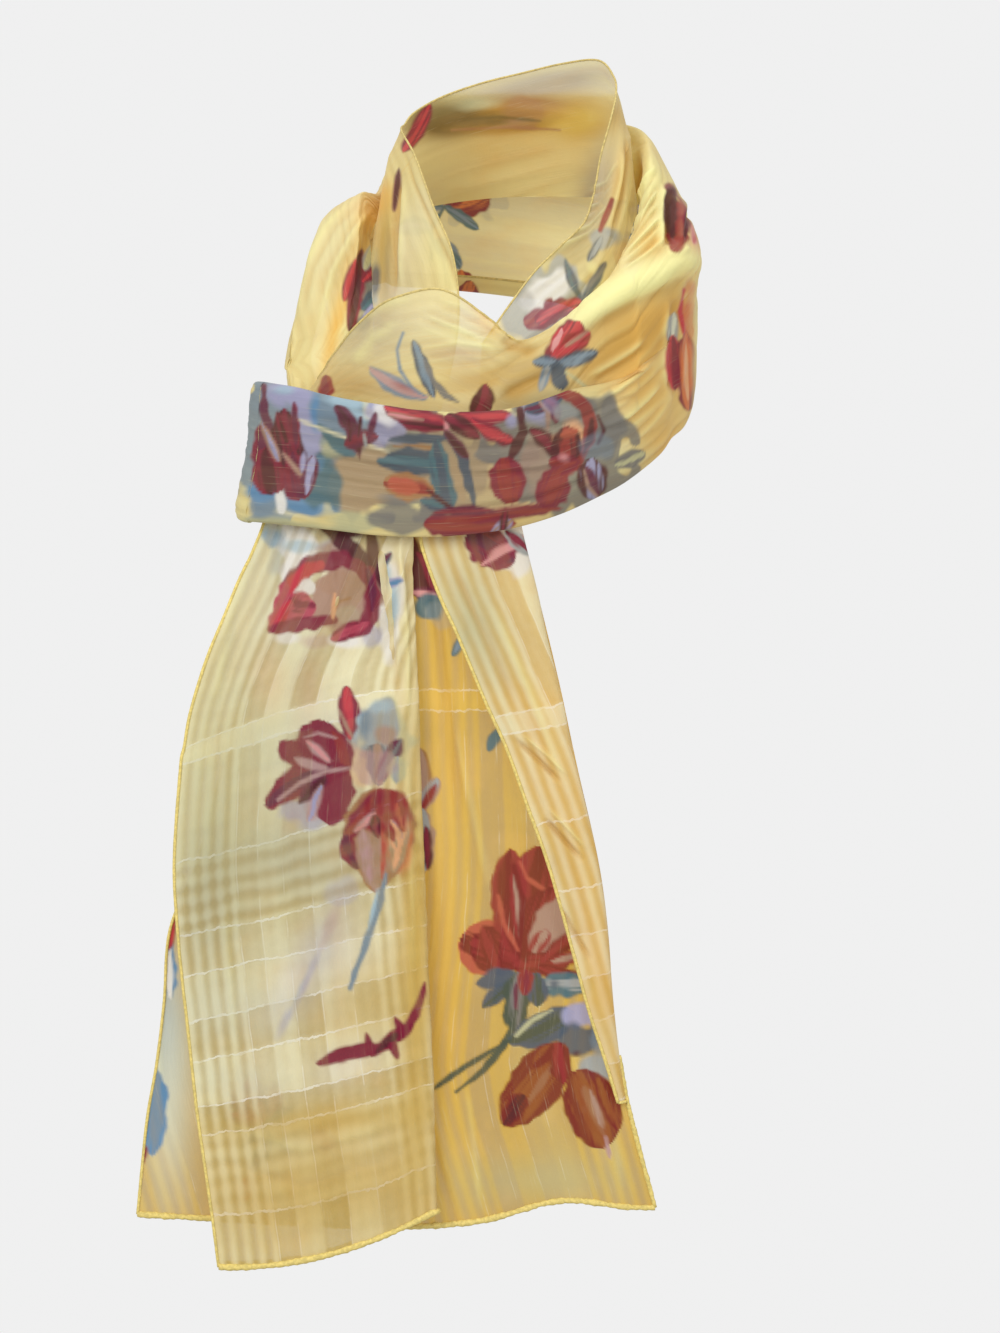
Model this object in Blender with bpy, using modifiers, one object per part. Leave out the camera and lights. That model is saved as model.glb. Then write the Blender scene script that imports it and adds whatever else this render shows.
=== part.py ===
"""A long chiffon scarf, worn: once round the neck, tucked over itself in front, two ends hanging.

Metres, +Z up, the front of the scarf towards -Y. The origin is the middle of the neck opening.
A "turn" is an angle about the neck, counted from the front, past the left-hand side of a viewer
who faces the scarf (90), the back (180) and the right-hand side (270), to the front again (360).
The cloth runs in that direction: up over the first shoulder, round the back and across the front.
The cut is one straight strip of chiffon, 150 cm long and 22.5 cm wide, hemmed all round.
"""

import math

import bpy
import numpy as np

MM = 0.001
WALL = 1.2  # mm, the cloth as a solid wall
SEAM_GAP = 0.5  # mm left between two stretches of the one cloth
FOLD_HALF = 1.9  # mm, half the width of a sharp fold of the middle surface
ROUGHNESS = 0.75
COLOURS = {
    "one layer": (0.80, 0.66, 0.36),
    "two layers": (0.85, 0.65, 0.18),
    "many layers": (0.78, 0.52, 0.10),
}

# Every table below is in degrees of turn and millimetres.

# The neck side of the cloth, from its hem down to the foot of the stand, behind and on the right.
STAND_COLUMNS = (
    "turn", "hem radius", "hem height", "middle radius", "middle height", "foot radius", "foot height",
)
STAND_ROWS = (
    (112.0, 45.0, 57.0, 49.0, 38.0, 53.0, 17.0),
    (128.0, 48.0, 61.0, 51.0, 40.0, 54.5, 18.0),
    (148.0, 50.0, 66.5, 52.5, 44.0, 55.5, 19.0),
    (170.0, 52.0, 72.0, 54.0, 47.0, 56.0, 20.0),
    (190.0, 53.0, 76.5, 54.5, 50.0, 56.5, 21.0),
    (212.0, 53.5, 81.5, 55.0, 53.0, 57.0, 22.0),
    (235.0, 53.0, 84.0, 55.5, 56.0, 57.5, 24.0),
    (250.0, 53.0, 78.0, 56.5, 56.0, 58.5, 25.0),
    (264.0, 51.0, 72.0, 57.0, 54.0, 59.0, 26.0),
    (280.0, 49.0, 62.0, 57.5, 50.0, 60.0, 26.0),
    (290.0, 46.5, 46.5, 57.5, 43.0, 60.5, 24.0),
    (299.0, 46.5, 31.0, 58.0, 27.0, 61.0, 12.0),
    (313.0, 49.5, 19.5, 61.0, 8.0, 63.5, -3.0),
    (329.0, 52.5, 11.5, 66.5, -8.0, 68.5, -18.0),
    (345.0, 57.5, 1.0, 73.0, -20.0, 74.5, -30.0),
    (357.0, 66.0, -13.0, 78.5, -29.0, 79.0, -39.0),
    (366.0, 74.0, -28.0, 82.0, -40.0, 82.0, -50.0),
)

# The outer turn of the cloth, behind and on the right.
TURN_COLUMNS = (
    "turn", "foot radius", "foot height", "crest radius", "crest height", "shoulder radius",
    "shoulder height", "side radius", "side height", "bottom radius", "bottom height", "hem radius",
    "hem height",
)
TURN_ROWS = (
    (112.0, 55.5, 10.0, 57.5, 27.0, 65.0, 15.0, 70.0, 1.0, 69.0, -14.0, 64.0, -9.0),
    (130.0, 57.0, 15.0, 59.0, 40.0, 67.5, 24.0, 73.0, 3.0, 72.0, -18.0, 66.5, -12.0),
    (155.0, 59.0, 19.0, 62.0, 54.0, 71.5, 29.0, 76.0, 0.0, 73.0, -22.0, 67.5, -15.0),
    (180.0, 60.0, 21.0, 63.5, 58.0, 73.5, 31.0, 78.0, 0.0, 74.5, -26.0, 68.5, -18.0),
    (210.0, 61.0, 22.0, 65.0, 58.0, 76.0, 32.0, 81.0, 0.0, 77.0, -31.0, 70.5, -22.0),
    (240.0, 61.3, 22.0, 66.0, 55.0, 79.0, 30.0, 85.0, -4.0, 80.0, -40.0, 74.0, -31.0),
    (258.0, 61.8, 23.0, 66.5, 54.0, 83.0, 21.0, 88.0, -16.0, 83.0, -50.0, 77.0, -41.0),
    (274.0, 62.4, 22.0, 67.0, 49.5, 90.0, 11.0, 86.5, -26.0, 84.0, -62.0, 77.5, -53.0),
    (287.0, 63.0, 18.0, 69.5, 45.0, 91.5, 9.0, 84.5, -24.0, 84.0, -71.0, 77.0, -62.0),
    (294.0, 63.4, 13.0, 71.5, 38.0, 91.2, 6.0, 83.0, -26.0, 81.0, -76.0, 75.0, -67.0),
    (302.0, 64.2, 5.0, 73.5, 26.0, 90.5, 1.0, 87.0, -31.0, 80.5, -82.0, 75.0, -73.0),
    (317.0, 67.0, -8.0, 76.5, 8.0, 89.0, -5.0, 90.5, -40.0, 80.0, -90.0, 74.5, -81.0),
    (330.0, 72.0, -18.0, 80.5, -8.0, 89.0, -12.0, 90.8, -44.0, 82.0, -95.0, 77.0, -87.0),
)

# The cloth that crosses the front: a free upper hem, a pleat tucked in, and the flat band over it.
FRONT_COLUMNS = (
    "turn", "hem radius", "hem height", "crown radius", "crown height", "belly radius", "belly height",
    "tuck radius", "tuck height", "band top radius", "band top height", "face radius", "face height",
    "bottom radius", "bottom height", "lower hem radius", "lower hem height",
)
FRONT_ROWS = (
    (330.0, 72.0, -18.0, 80.5, -8.0, 89.0, -12.0, 89.3, -49.0, 91.6, -43.0, 90.0, -70.0, 82.0, -95.0,
     77.0, -87.0),
    (342.0, 79.0, -23.0, 83.0, -17.0, 89.0, -21.0, 90.5, -57.0, 95.5, -44.5, 94.0, -71.0, 85.5, -100.0,
     80.5, -91.0),
    (354.0, 83.5, -26.5, 85.5, -24.0, 89.0, -30.0, 91.0, -65.0, 99.0, -50.5, 98.0, -77.0, 90.0, -104.0,
     84.5, -95.0),
    (364.0, 86.0, -14.0, 89.0, -18.0, 92.5, -34.0, 94.0, -70.0, 102.0, -52.5, 101.0, -79.0, 94.5,
     -106.0, 88.5, -97.0),
    (376.0, 89.0, -3.0, 93.0, -16.0, 97.0, -36.0, 98.0, -70.0, 105.5, -52.3, 104.5, -79.5, 101.0,
     -107.0, 95.0, -98.0),
    (388.0, 91.0, -6.8, 96.0, -20.0, 100.5, -40.0, 102.0, -70.0, 110.5, -50.0, 110.5, -78.0, 108.5,
     -106.5, 102.5, -98.0),
    (397.0, 93.0, -15.6, 98.0, -28.0, 103.0, -45.0, 106.0, -68.0, 114.5, -48.0, 115.5, -77.0, 115.5,
     -105.0, 110.0, -97.0),
    (406.0, 95.0, -29.5, 100.0, -38.0, 106.0, -51.0, 110.0, -66.0, 119.5, -45.0, 122.0, -75.0, 124.0,
     -104.0, 118.0, -96.0),
    (414.0, 96.5, -45.0, 102.0, -50.0, 107.5, -57.0, 112.0, -64.0, 124.0, -44.0, 128.0, -74.0, 132.5,
     -104.0, 126.0, -96.0),
)
FLAP_LINES = 4  # the first fold lines of that table belong to the flap, the others to the band

# The fold lines of the first strand, from the back of the neck down to where the band holds it.
# Each line has a (turn, radius, height) at eight stations, and the neck hem comes first.
LAPEL_LINES = {
    "neck hem": (
        (112.0, 45.0, 57.0), (84.0, 43.0, 56.0), (58.0, 43.5, 47.0), (38.0, 47.0, 27.0),
        (22.0, 54.0, 7.0), (16.0, 65.0, -20.0), (19.0, 75.0, -52.0), (25.0, 84.0, -83.0),
    ),
    "lapel fold": (
        (112.0, 49.0, 38.0), (94.0, 49.0, 45.0), (75.0, 50.5, 29.0), (56.0, 57.0, 10.0),
        (43.0, 66.0, -10.0), (35.0, 77.0, -38.0), (32.0, 86.0, -62.0), (31.0, 91.0, -83.0),
    ),
    "valley": (
        (112.0, 53.0, 17.0), (95.0, 53.0, 18.0), (78.0, 55.5, 7.0), (64.0, 60.0, -10.0),
        (53.0, 66.0, -30.0), (43.0, 77.0, -54.0), (39.0, 84.0, -70.0), (37.0, 88.0, -83.0),
    ),
}
LOOP_LINES = {
    "valley": (
        (112.0, 55.5, 10.0), (96.0, 55.8, 14.0), (79.0, 58.5, 3.0), (65.0, 63.0, -14.0),
        (54.0, 69.5, -34.0), (44.5, 80.5, -57.0), (40.5, 88.0, -71.0), (39.0, 92.5, -83.0),
    ),
    "crest": (
        (112.0, 57.5, 27.0), (90.0, 61.0, 28.0), (70.0, 65.0, 13.0), (63.0, 71.0, -10.0),
        (59.5, 80.0, -29.0), (55.0, 91.0, -46.0), (50.0, 100.0, -67.0), (47.0, 105.0, -83.0),
    ),
    "roll": (
        (112.0, 65.0, 15.0), (92.0, 76.0, 19.0), (78.0, 84.0, 4.0), (73.0, 91.0, -17.0),
        (69.0, 98.0, -38.0), (60.0, 105.0, -50.0), (52.0, 111.0, -68.0), (49.0, 114.0, -83.0),
    ),
    "bottom": (
        (112.0, 69.0, -14.0), (96.0, 76.0, -16.0), (86.0, 83.0, -20.0), (79.0, 89.0, -29.0),
        (70.0, 95.0, -40.0), (58.0, 103.0, -49.0), (53.0, 107.0, -67.0), (51.0, 110.0, -83.0),
    ),
    "outer hem": (
        (112.0, 64.0, -9.0), (98.0, 70.0, -12.0), (89.0, 76.0, -17.0), (82.0, 81.0, -27.0),
        (72.0, 87.0, -39.0), (57.0, 95.0, -49.0), (50.0, 101.0, -66.0), (45.5, 103.0, -83.0),
    ),
}

# The band turns back on itself at its left end and returns behind the strand that it holds.
RETURN_COLUMNS = ("top x", "top y", "top z", "bottom x", "bottom y", "bottom z")
RETURN_ROWS = (
    (-100.5, -72.8, -44.0, -107.5, -77.7, -104.0),
    (-103.6, -65.5, -45.0, -112.0, -69.5, -103.5),
    (-101.5, -56.5, -48.0, -109.0, -59.0, -103.0),
    (-94.0, -50.5, -52.0, -99.0, -51.0, -102.5),
    (-82.0, -48.5, -55.0, -84.0, -48.5, -103.0),
    (-66.0, -50.0, -58.0, -66.0, -50.0, -104.0),
    (-48.0, -53.0, -61.0, -47.0, -53.0, -105.0),
    (-30.0, -56.0, -65.0, -29.0, -56.0, -105.5),
    (-12.0, -58.0, -70.0, -11.0, -58.0, -105.0),
    (4.0, -58.0, -76.0, 5.0, -58.0, -103.0),
)
RETURN_END_OF_TURN = 3  # the row where the turned end becomes the hidden return
TURN_END_CLEAR = 0.052  # of a row left out before it

# The hanging ends. Each row is the height and the depth of the front end's face there.
DEPTH_ROWS = (
    (-80.0, -80.5),
    (-95.0, -84.0),
    (-115.0, -91.0),
    (-140.0, -99.0),
    (-180.0, -108.0),
    (-230.0, -114.0),
    (-300.0, -118.0),
    (-430.0, -121.0),
)

# One row per thread line across a hanging end: its two ends, and how far it sags between them.
END_COLUMNS = ("left x", "left z", "right x", "right z", "sag")
FRONT_END_ROWS = (
    (-97.0, -84.0, -40.0, -84.0, 0.0),
    (-101.3, -105.6, -37.8, -103.5, 0.5),
    (-111.8, -130.0, -37.4, -123.0, 1.0),
    (-123.1, -154.6, -37.0, -141.5, 1.5),
    (-131.2, -179.5, -36.9, -160.0, 2.0),
    (-136.6, -208.0, -36.4, -185.5, 2.5),
    (-138.9, -248.6, -35.0, -226.0, 3.0),
    (-137.3, -280.0, -33.6, -255.0, 3.0),
    (-133.8, -317.6, -32.2, -293.0, 3.0),
    (-130.2, -355.3, -30.8, -332.0, 4.0),
    (-126.0, -387.0, -29.4, -363.0, 5.0),
    (-121.8, -422.6, -29.6, -398.0, 7.0),
)
BACK_END_ROWS = (
    (-84.0, -98.0, 3.0, -77.0, 0.0),
    (-87.0, -105.0, 6.0, -90.0, 0.0),
    (-90.0, -113.0, 9.0, -104.0, 0.0),
    (-98.0, -136.0, 17.1, -136.2, 0.0),
    (-108.0, -169.0, 25.2, -169.5, 0.0),
    (-118.0, -204.0, 32.6, -204.0, 0.5),
    (-129.0, -245.0, 42.0, -245.5, 1.0),
    (-141.5, -276.0, 46.3, -276.0, 2.0),
    (-144.5, -308.0, 48.7, -307.8, 3.0),
    (-148.0, -335.0, 51.8, -334.5, 4.0),
    (-152.8, -362.0, 57.1, -361.3, 5.0),
    (-157.3, -403.0, 67.3, -400.5, 5.0),
)

# The long edge of the back end is turned over to the front.
TURNOVER_COLUMNS = ("hem x", "hem z", "fold x", "fold z")
TURNOVER_ROWS = (
    (-33.3, -105.0, 8.6, -105.0),
    (-33.3, -111.6, 10.6, -110.6),
    (-26.0, -131.5, 16.2, -132.0),
    (-18.3, -148.0, 20.0, -150.0),
    (-6.4, -176.6, 26.4, -176.0),
    (3.0, -197.7, 30.6, -197.0),
    (11.9, -222.5, 36.6, -222.0),
    (19.7, -244.0, 41.6, -244.0),
    (25.7, -264.5, 44.9, -264.5),
    (32.2, -288.5, 47.2, -288.5),
    (38.7, -312.7, 49.2, -312.0),
    (45.2, -332.7, 51.6, -332.5),
)

BACK_LAYER = 2.6  # mm from the front end's face to its own doubled layer, where the band presses them
BACK_LAYER_LOOSE = 4.5  # the same lower down
BACK_LAYER_SHORT = 0.06  # of the width, by which the layer behind stops short of the left hem
BACK_END = 4.6  # mm from the front end's face to the back end, where the band presses them
BACK_END_LOOSE = 10.0
TURNOVER_LIFT = 3.6  # mm that the turned-over edge stands before the back end
TURNOVER_FLATTENS = 0.35  # of its width, over which it comes down to the fold
LOOSE_FROM = -122.0  # heights between which the layers part
LOOSE_TO = -200.0
BACK_END_SET = 15.0  # mm that the top of the back end lies further in, against the hidden return
BACK_END_SET_HEIGHTS = (-108.0, -86.0)
UNDER_BAND = 17.0  # mm that the ends lie further in under the left end of the band, which curves away
UNDER_BAND_FROM = -37.0  # x at which that starts
UNDER_BAND_TO = -101.0  # x at which it reaches the whole depth
UNDER_BAND_AT_MOST = 1.3  # times that distance
UNDER_BAND_HEIGHTS = (-150.0, -108.0)
ROWS_GATHER = 1.35  # above 1, a hanging end has more rows of faces near its top

# Lengthwise pleats: share across, half width as a share, height in mm, level where it has died out.
FRONT_END_PLEATS = (
    (0.93, 0.045, 3.2, -300.0),
    (0.8, 0.05, 1.8, -240.0),
    (0.62, 0.07, 1.4, -230.0),
    (0.3, 0.1, 1.5, -260.0),
    (0.12, 0.06, -1.2, -330.0),
)
BACK_END_PLEATS = (
    (0.18, 0.1, -1.5, -460.0),
    (0.42, 0.07, -1.5, -420.0),
    (0.68, 0.08, 1.4, -480.0),
    (0.86, 0.05, -1.2, -480.0),
)

# The stretches made from fold lines: which fold lines, the stations they run between, the rows of
# points, the faces between one fold line and the next, and the fold lines that are rounded folds.
CLEAR = 0.04  # of a station left out where one stretch meets the next
STRETCH_COLUMNS = ("name", "fold lines", "first", "last", "rows", "faces", "rounded")
STRETCHES = (
    ("lapel_left", "lapel", CLEAR, 7, 15, (4, 3), (1,)),
    ("stand_back", "stand", 0, 6 - CLEAR, 13, (3, 3), ()),
    ("lapel_right", "stand", 6, 16, 19, (4, 3), (1,)),
    ("loop_left", "loop", CLEAR, 7, 15, (3, 3, 3, 1), (1, 3)),
    ("loop_back", "turn", 0, 5 - CLEAR, 13, (3, 3, 2, 3, 1), (1, 4)),
    ("loop_right", "turn", 5, 12 - CLEAR, 15, (3, 3, 3, 3, 1), (1, 4)),
    ("front_flap", "flap", 0, 8, 17, (2, 3, 3), ()),
    ("front_band", "band", 0, 8 - CLEAR, 17, (3, 3, 2), (2,)),
)
BAND_TURN_MESH = (8, 6)  # rows of points, faces across
BAND_RETURN_MESH = (10, 5)
FRONT_END_MESH = (19, 12, 2, 10)  # rows, faces across the front, points round the fold, faces behind
BACK_END_MESH = (20, 14)
TURNOVER_MESH = (16, 5)

# How many layers of cloth each piece stands for, which sets how deep its colour is.
LAYERS = {
    "lapel_left": "one layer", "stand_back": "one layer", "lapel_right": "one layer",
    "loop_left": "many layers", "loop_back": "two layers", "loop_right": "many layers",
    "front_flap": "one layer", "front_band": "two layers", "band_turn": "two layers",
    "band_return": "two layers", "front_end": "two layers", "back_end": "one layer",
    "back_end_turnover": "two layers",
}


def ring_lines(rows, columns):
    """The fold lines of a table whose rows give one turn and then (radius, height) pairs."""
    table = np.array(rows, float)
    lines = []
    for column in range(1, len(columns), 2):
        lines.append(np.stack([table[:, 0], table[:, column], table[:, column + 1]], 1))
    return np.array(lines)


def strand_lines(lines):
    """The fold lines of a table that names each line."""
    return np.array(list(lines.values()), float)


def along(points, where):
    """Points of the smooth curve through `points`, at the stations `where` counted from 0."""
    points = np.asarray(points, float)
    last = len(points) - 1
    where = np.clip(np.asarray(where, float), 0, last)
    index = np.minimum(where.astype(int), last - 1)
    part = (where - index)[:, None]
    start = points[index]
    end = points[index + 1]
    before = points[np.maximum(index - 1, 0)]
    after = points[np.minimum(index + 2, last)]
    slope_in = np.where((index > 0)[:, None], (end - before) / 2, end - start)
    slope_out = np.where((index < last - 1)[:, None], (after - start) / 2, end - start)
    return curve_between(start, end, slope_in, slope_out, part)


def curve_between(start, end, slope_in, slope_out, part):
    """The cubic from `start` to `end` with those slopes, at the share `part` of the way."""
    square = part * part
    cube = square * part
    return (
        (2 * cube - 3 * square + 1) * start
        + (cube - 2 * square + part) * slope_in
        + (3 * square - 2 * cube) * end
        + (cube - square) * slope_out
    )


def from_polar(line):
    """Points given as turn, radius and height, as x, y and z."""
    turn = np.radians(line[..., 0])
    x = -line[..., 1] * np.sin(turn)
    y = -line[..., 1] * np.cos(turn)
    return np.stack([x, y, line[..., 2]], -1)


def unit(vector):
    return vector / max(np.linalg.norm(vector), 1e-9)


def rounded(points, folds):
    """A section with each fold line in `folds` made three points, so that the cloth bends round."""
    made = [points[0]]
    for i in range(1, len(points) - 1):
        here = points[i]
        if i in folds:
            arriving = unit(here - points[i - 1])
            leaving = unit(points[i + 1] - here)
            sharpness = (1 - np.dot(arriving, leaving)) / 2
            aside = FOLD_HALF * sharpness * sharpness * unit(arriving + leaving)
            made.append(here - FOLD_HALF * arriving - aside)
            made.append(here)
            made.append(here + FOLD_HALF * leaving + aside)
        else:
            made.append(here)
    made.append(points[-1])
    return np.array(made)


def fold_steps(steps, folds):
    """`steps` with the two more single faces that `rounded` makes at each fold line."""
    made = []
    for i, count in enumerate(steps):
        if i in folds:
            made += [1, 1]
        made.append(count)
    return made


def across_section(points, steps):
    """The smooth section through `points`, with `steps` faces between each and the next."""
    spans = np.sqrt(np.linalg.norm(np.diff(points, axis=0), axis=1))
    knots = np.concatenate([[0], np.cumsum(spans)])
    made = []
    for i, count in enumerate(steps):
        for share in np.linspace(0, 1, count, endpoint=False):
            made.append(on_section(points, knots, i, share))
    made.append(points[-1])
    return np.array(made)


def on_section(points, knots, i, share):
    """A point of the centripetal curve through `points`, that share of the way past point i."""
    here = points[i]
    following = points[i + 1]
    span = knots[i + 1] - knots[i]
    before = 2 * here - following
    gap_before = span
    after = 2 * following - here
    gap_after = span
    if i > 0:
        before = points[i - 1]
        gap_before = knots[i] - knots[i - 1]
    if i + 2 < len(points):
        after = points[i + 2]
        gap_after = knots[i + 2] - knots[i + 1]
    middle = (following - here) / span
    slope_in = (here - before) / gap_before - (following - before) / (gap_before + span) + middle
    slope_out = middle - (after - here) / (span + gap_after) + (after - following) / gap_after
    return curve_between(here, following, slope_in * span, slope_out * span, share)


def sheet_grid(lines, stations, steps, folds):
    """A grid of points lofted over the fold lines: a row of points for each station."""
    columns = [from_polar(along(line, stations)) for line in lines]
    faces = fold_steps(steps, folds)
    return np.array([across_section(rounded(section, folds), faces) for section in np.stack(columns, 1)])


def depth_at(height):
    table = np.array(sorted(DEPTH_ROWS), float)
    return np.interp(height, table[:, 0], table[:, 1])


def eased(value, start, end):
    """0 at `start`, 1 at `end`, with a smooth slope between."""
    share = np.clip((value - start) / (end - start), 0, 1)
    return share * share * (3 - 2 * share)


def loosened(height, pressed, loose):
    return pressed + (loose - pressed) * eased(height, LOOSE_FROM, LOOSE_TO)


def face_depth(x, height):
    """Depth of the front end's face, which is curved under the band."""
    share = (UNDER_BAND_FROM - x) / (UNDER_BAND_FROM - UNDER_BAND_TO)
    inward = np.clip(share, 0, UNDER_BAND_AT_MOST) ** 2
    return depth_at(height) + UNDER_BAND * inward * eased(height, *UNDER_BAND_HEIGHTS)


def pleat_relief(across, height, pleats):
    """How far the pleats lift the cloth forward at a share across it."""
    lift = np.zeros(np.broadcast(across, height).shape)
    for middle, half_width, tall, died_out in pleats:
        fade = np.clip((height - died_out) / (LOOSE_FROM - died_out), 0, 1)
        lift = lift + tall * fade * np.exp(-(((across - middle) / half_width) ** 2))
    return lift


def thread_line(row, shares):
    """Points along one thread line of a hanging end, as x and z."""
    ends = dict(zip(END_COLUMNS, row))
    x = ends["left x"] + (ends["right x"] - ends["left x"]) * shares
    z = ends["left z"] + (ends["right z"] - ends["left z"]) * shares
    return x, z - ends["sag"] * 4 * shares * (1 - shares)


def end_stations(rows, count):
    """Stations down a hanging end, closer together near the band, where the end is bent."""
    return (len(rows) - 1) * np.linspace(0, 1, count) ** ROWS_GATHER


def front_end_grid(row_count, face_steps, fold_count, back_steps):
    """The front end, doubled: its face from the left hem to the fold, then the layer behind."""
    grid = []
    for row in along(FRONT_END_ROWS, end_stations(FRONT_END_ROWS, row_count)):
        face = np.linspace(0, 1, face_steps + 1)
        x, z = thread_line(row, face)
        y = face_depth(x, z) - pleat_relief(face, z, FRONT_END_PLEATS)
        points = list(np.stack([x, y, z], 1))
        bend = loosened(z[-1], BACK_LAYER, BACK_LAYER_LOOSE) / 2
        for angle in np.linspace(0, math.pi, fold_count + 2)[1:-1]:
            points.append(points[face_steps] + bend * np.array([math.sin(angle), 1 - math.cos(angle), 0]))
        behind = np.linspace(1, BACK_LAYER_SHORT, back_steps + 1)
        x, z = thread_line(row, behind)
        y = face_depth(x, z) - pleat_relief(behind, z, FRONT_END_PLEATS)
        points += list(np.stack([x, y + loosened(z, BACK_LAYER, BACK_LAYER_LOOSE), z], 1))
        grid.append(points)
    return np.array(grid)


def back_end_depth(x, z, share):
    behind = loosened(z, BACK_END, BACK_END_LOOSE) + BACK_END_SET * eased(z, *BACK_END_SET_HEIGHTS)
    return face_depth(x, z) + behind - pleat_relief(share, z, BACK_END_PLEATS)


def back_end_grid(row_count, steps):
    shares = np.linspace(0, 1, steps + 1)
    grid = []
    for row in along(BACK_END_ROWS, end_stations(BACK_END_ROWS, row_count)):
        x, z = thread_line(row, shares)
        grid.append(np.stack([x, back_end_depth(x, z, shares), z], 1))
    return np.array(grid)


def back_end_share(x, z):
    """The share across the back end of a point on it."""
    table = dict(zip(END_COLUMNS, np.array(BACK_END_ROWS, float).T))
    level = -(table["left z"] + table["right z"]) / 2
    left = np.interp(-z, level, table["left x"])
    right = np.interp(-z, level, table["right x"])
    return (x - left) / (right - left)


def turnover_grid(row_count, steps):
    """The turned-over edge, from its hem to just before the fold at the side of the back end."""
    shares = np.linspace(0, 1, steps + 1)
    near_hem = np.clip((1 - shares) / TURNOVER_FLATTENS, 0, 1)
    lift = (WALL + SEAM_GAP) + (TURNOVER_LIFT - WALL - SEAM_GAP) * near_hem
    grid = []
    for row in along(TURNOVER_ROWS, end_stations(TURNOVER_ROWS, row_count)):
        ends = dict(zip(TURNOVER_COLUMNS, row))
        x = ends["hem x"] + (ends["fold x"] - ends["hem x"]) * shares
        z = ends["hem z"] + (ends["fold z"] - ends["hem z"]) * shares
        grid.append(np.stack([x, back_end_depth(x, z, back_end_share(x, z)) - lift, z], 1))
    return np.array(grid)


def return_grid(first, last, row_count, steps):
    """A stretch of the band's turned end or of its hidden return, between two rows of the table."""
    shares = np.linspace(0, 1, steps + 1)[:, None]
    grid = []
    for row in along(RETURN_ROWS, np.linspace(first, last, row_count)):
        ends = dict(zip(RETURN_COLUMNS, row))
        top = np.array([ends["top x"], ends["top y"], ends["top z"]])
        bottom = np.array([ends["bottom x"], ends["bottom y"], ends["bottom z"]])
        grid.append(top + (bottom - top) * shares)
    return np.array(grid)


def cloth_material(name):
    """Each piece's own material, of a colour that goes by how many layers the piece stands for."""
    material = bpy.data.materials.new("Chiffon of " + name)
    material.use_nodes = True
    shader = material.node_tree.nodes["Principled BSDF"]
    shader.inputs["Base Color"].default_value = (*COLOURS[LAYERS[name]], 1)
    shader.inputs["Roughness"].default_value = ROUGHNESS
    shader.inputs["Metallic"].default_value = 0
    return material


def add_wall(name, grid, collection):
    """A sheet lofted over the rows of `grid`, given the cloth's wall by a Solidify."""
    rows, columns = grid.shape[:2]
    corner = np.arange(rows * columns).reshape(rows, columns)
    faces = np.stack([corner[:-1, :-1], corner[:-1, 1:], corner[1:, 1:], corner[1:, :-1]], -1)
    mesh = bpy.data.meshes.new(name)
    mesh.from_pydata((grid.reshape(-1, 3) * MM).tolist(), [], faces.reshape(-1, 4).tolist())
    mesh.shade_smooth()
    mesh.materials.append(cloth_material(name))
    piece = bpy.data.objects.new(name, mesh)
    collection.objects.link(piece)
    wall = piece.modifiers.new("Wall", "SOLIDIFY")
    wall.thickness = WALL * MM
    wall.offset = 0
    wall.use_even_offset = False
    wall.use_quality_normals = True


def clear_scene():
    for thing in list(bpy.data.objects):
        bpy.data.objects.remove(thing, do_unlink=True)


def stretch_grids():
    """The grids of the stretches round the neck and across the front."""
    front = ring_lines(FRONT_ROWS, FRONT_COLUMNS)
    fold_lines = {
        "lapel": strand_lines(LAPEL_LINES),
        "loop": strand_lines(LOOP_LINES),
        "stand": ring_lines(STAND_ROWS, STAND_COLUMNS),
        "turn": ring_lines(TURN_ROWS, TURN_COLUMNS),
        "flap": front[:FLAP_LINES],
        "band": front[FLAP_LINES:],
    }
    grids = {}
    for row in STRETCHES:
        stretch = dict(zip(STRETCH_COLUMNS, row))
        stations = np.linspace(stretch["first"], stretch["last"], stretch["rows"])
        lines = fold_lines[stretch["fold lines"]]
        grids[stretch["name"]] = sheet_grid(lines, stations, stretch["faces"], stretch["rounded"])
    return grids


def build():
    clear_scene()
    scarf = bpy.data.collections.new("Chiffon scarf")
    bpy.context.scene.collection.children.link(scarf)
    grids = stretch_grids()
    grids["band_turn"] = return_grid(0, RETURN_END_OF_TURN - TURN_END_CLEAR, *BAND_TURN_MESH)
    grids["band_return"] = return_grid(RETURN_END_OF_TURN, len(RETURN_ROWS) - 1, *BAND_RETURN_MESH)
    grids["front_end"] = front_end_grid(*FRONT_END_MESH)
    grids["back_end"] = back_end_grid(*BACK_END_MESH)
    grids["back_end_turnover"] = turnover_grid(*TURNOVER_MESH)
    for name, grid in grids.items():
        add_wall(name, grid, scarf)


build()
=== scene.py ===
"""Chiffon scarf: the looks of a long printed scarf, worn once round the neck and tucked over itself.

Lengths in the tables are millimetres and turns are degrees, as in the model: 0 is the front, 90 the
side on a viewer's left, 180 the back. Places given as "across" and "down" are pixels of the camera's
frame, 1000 wide and 1333 high, so that what is drawn on the cloth sits where it is seen from in front.
"""

import math

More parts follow.
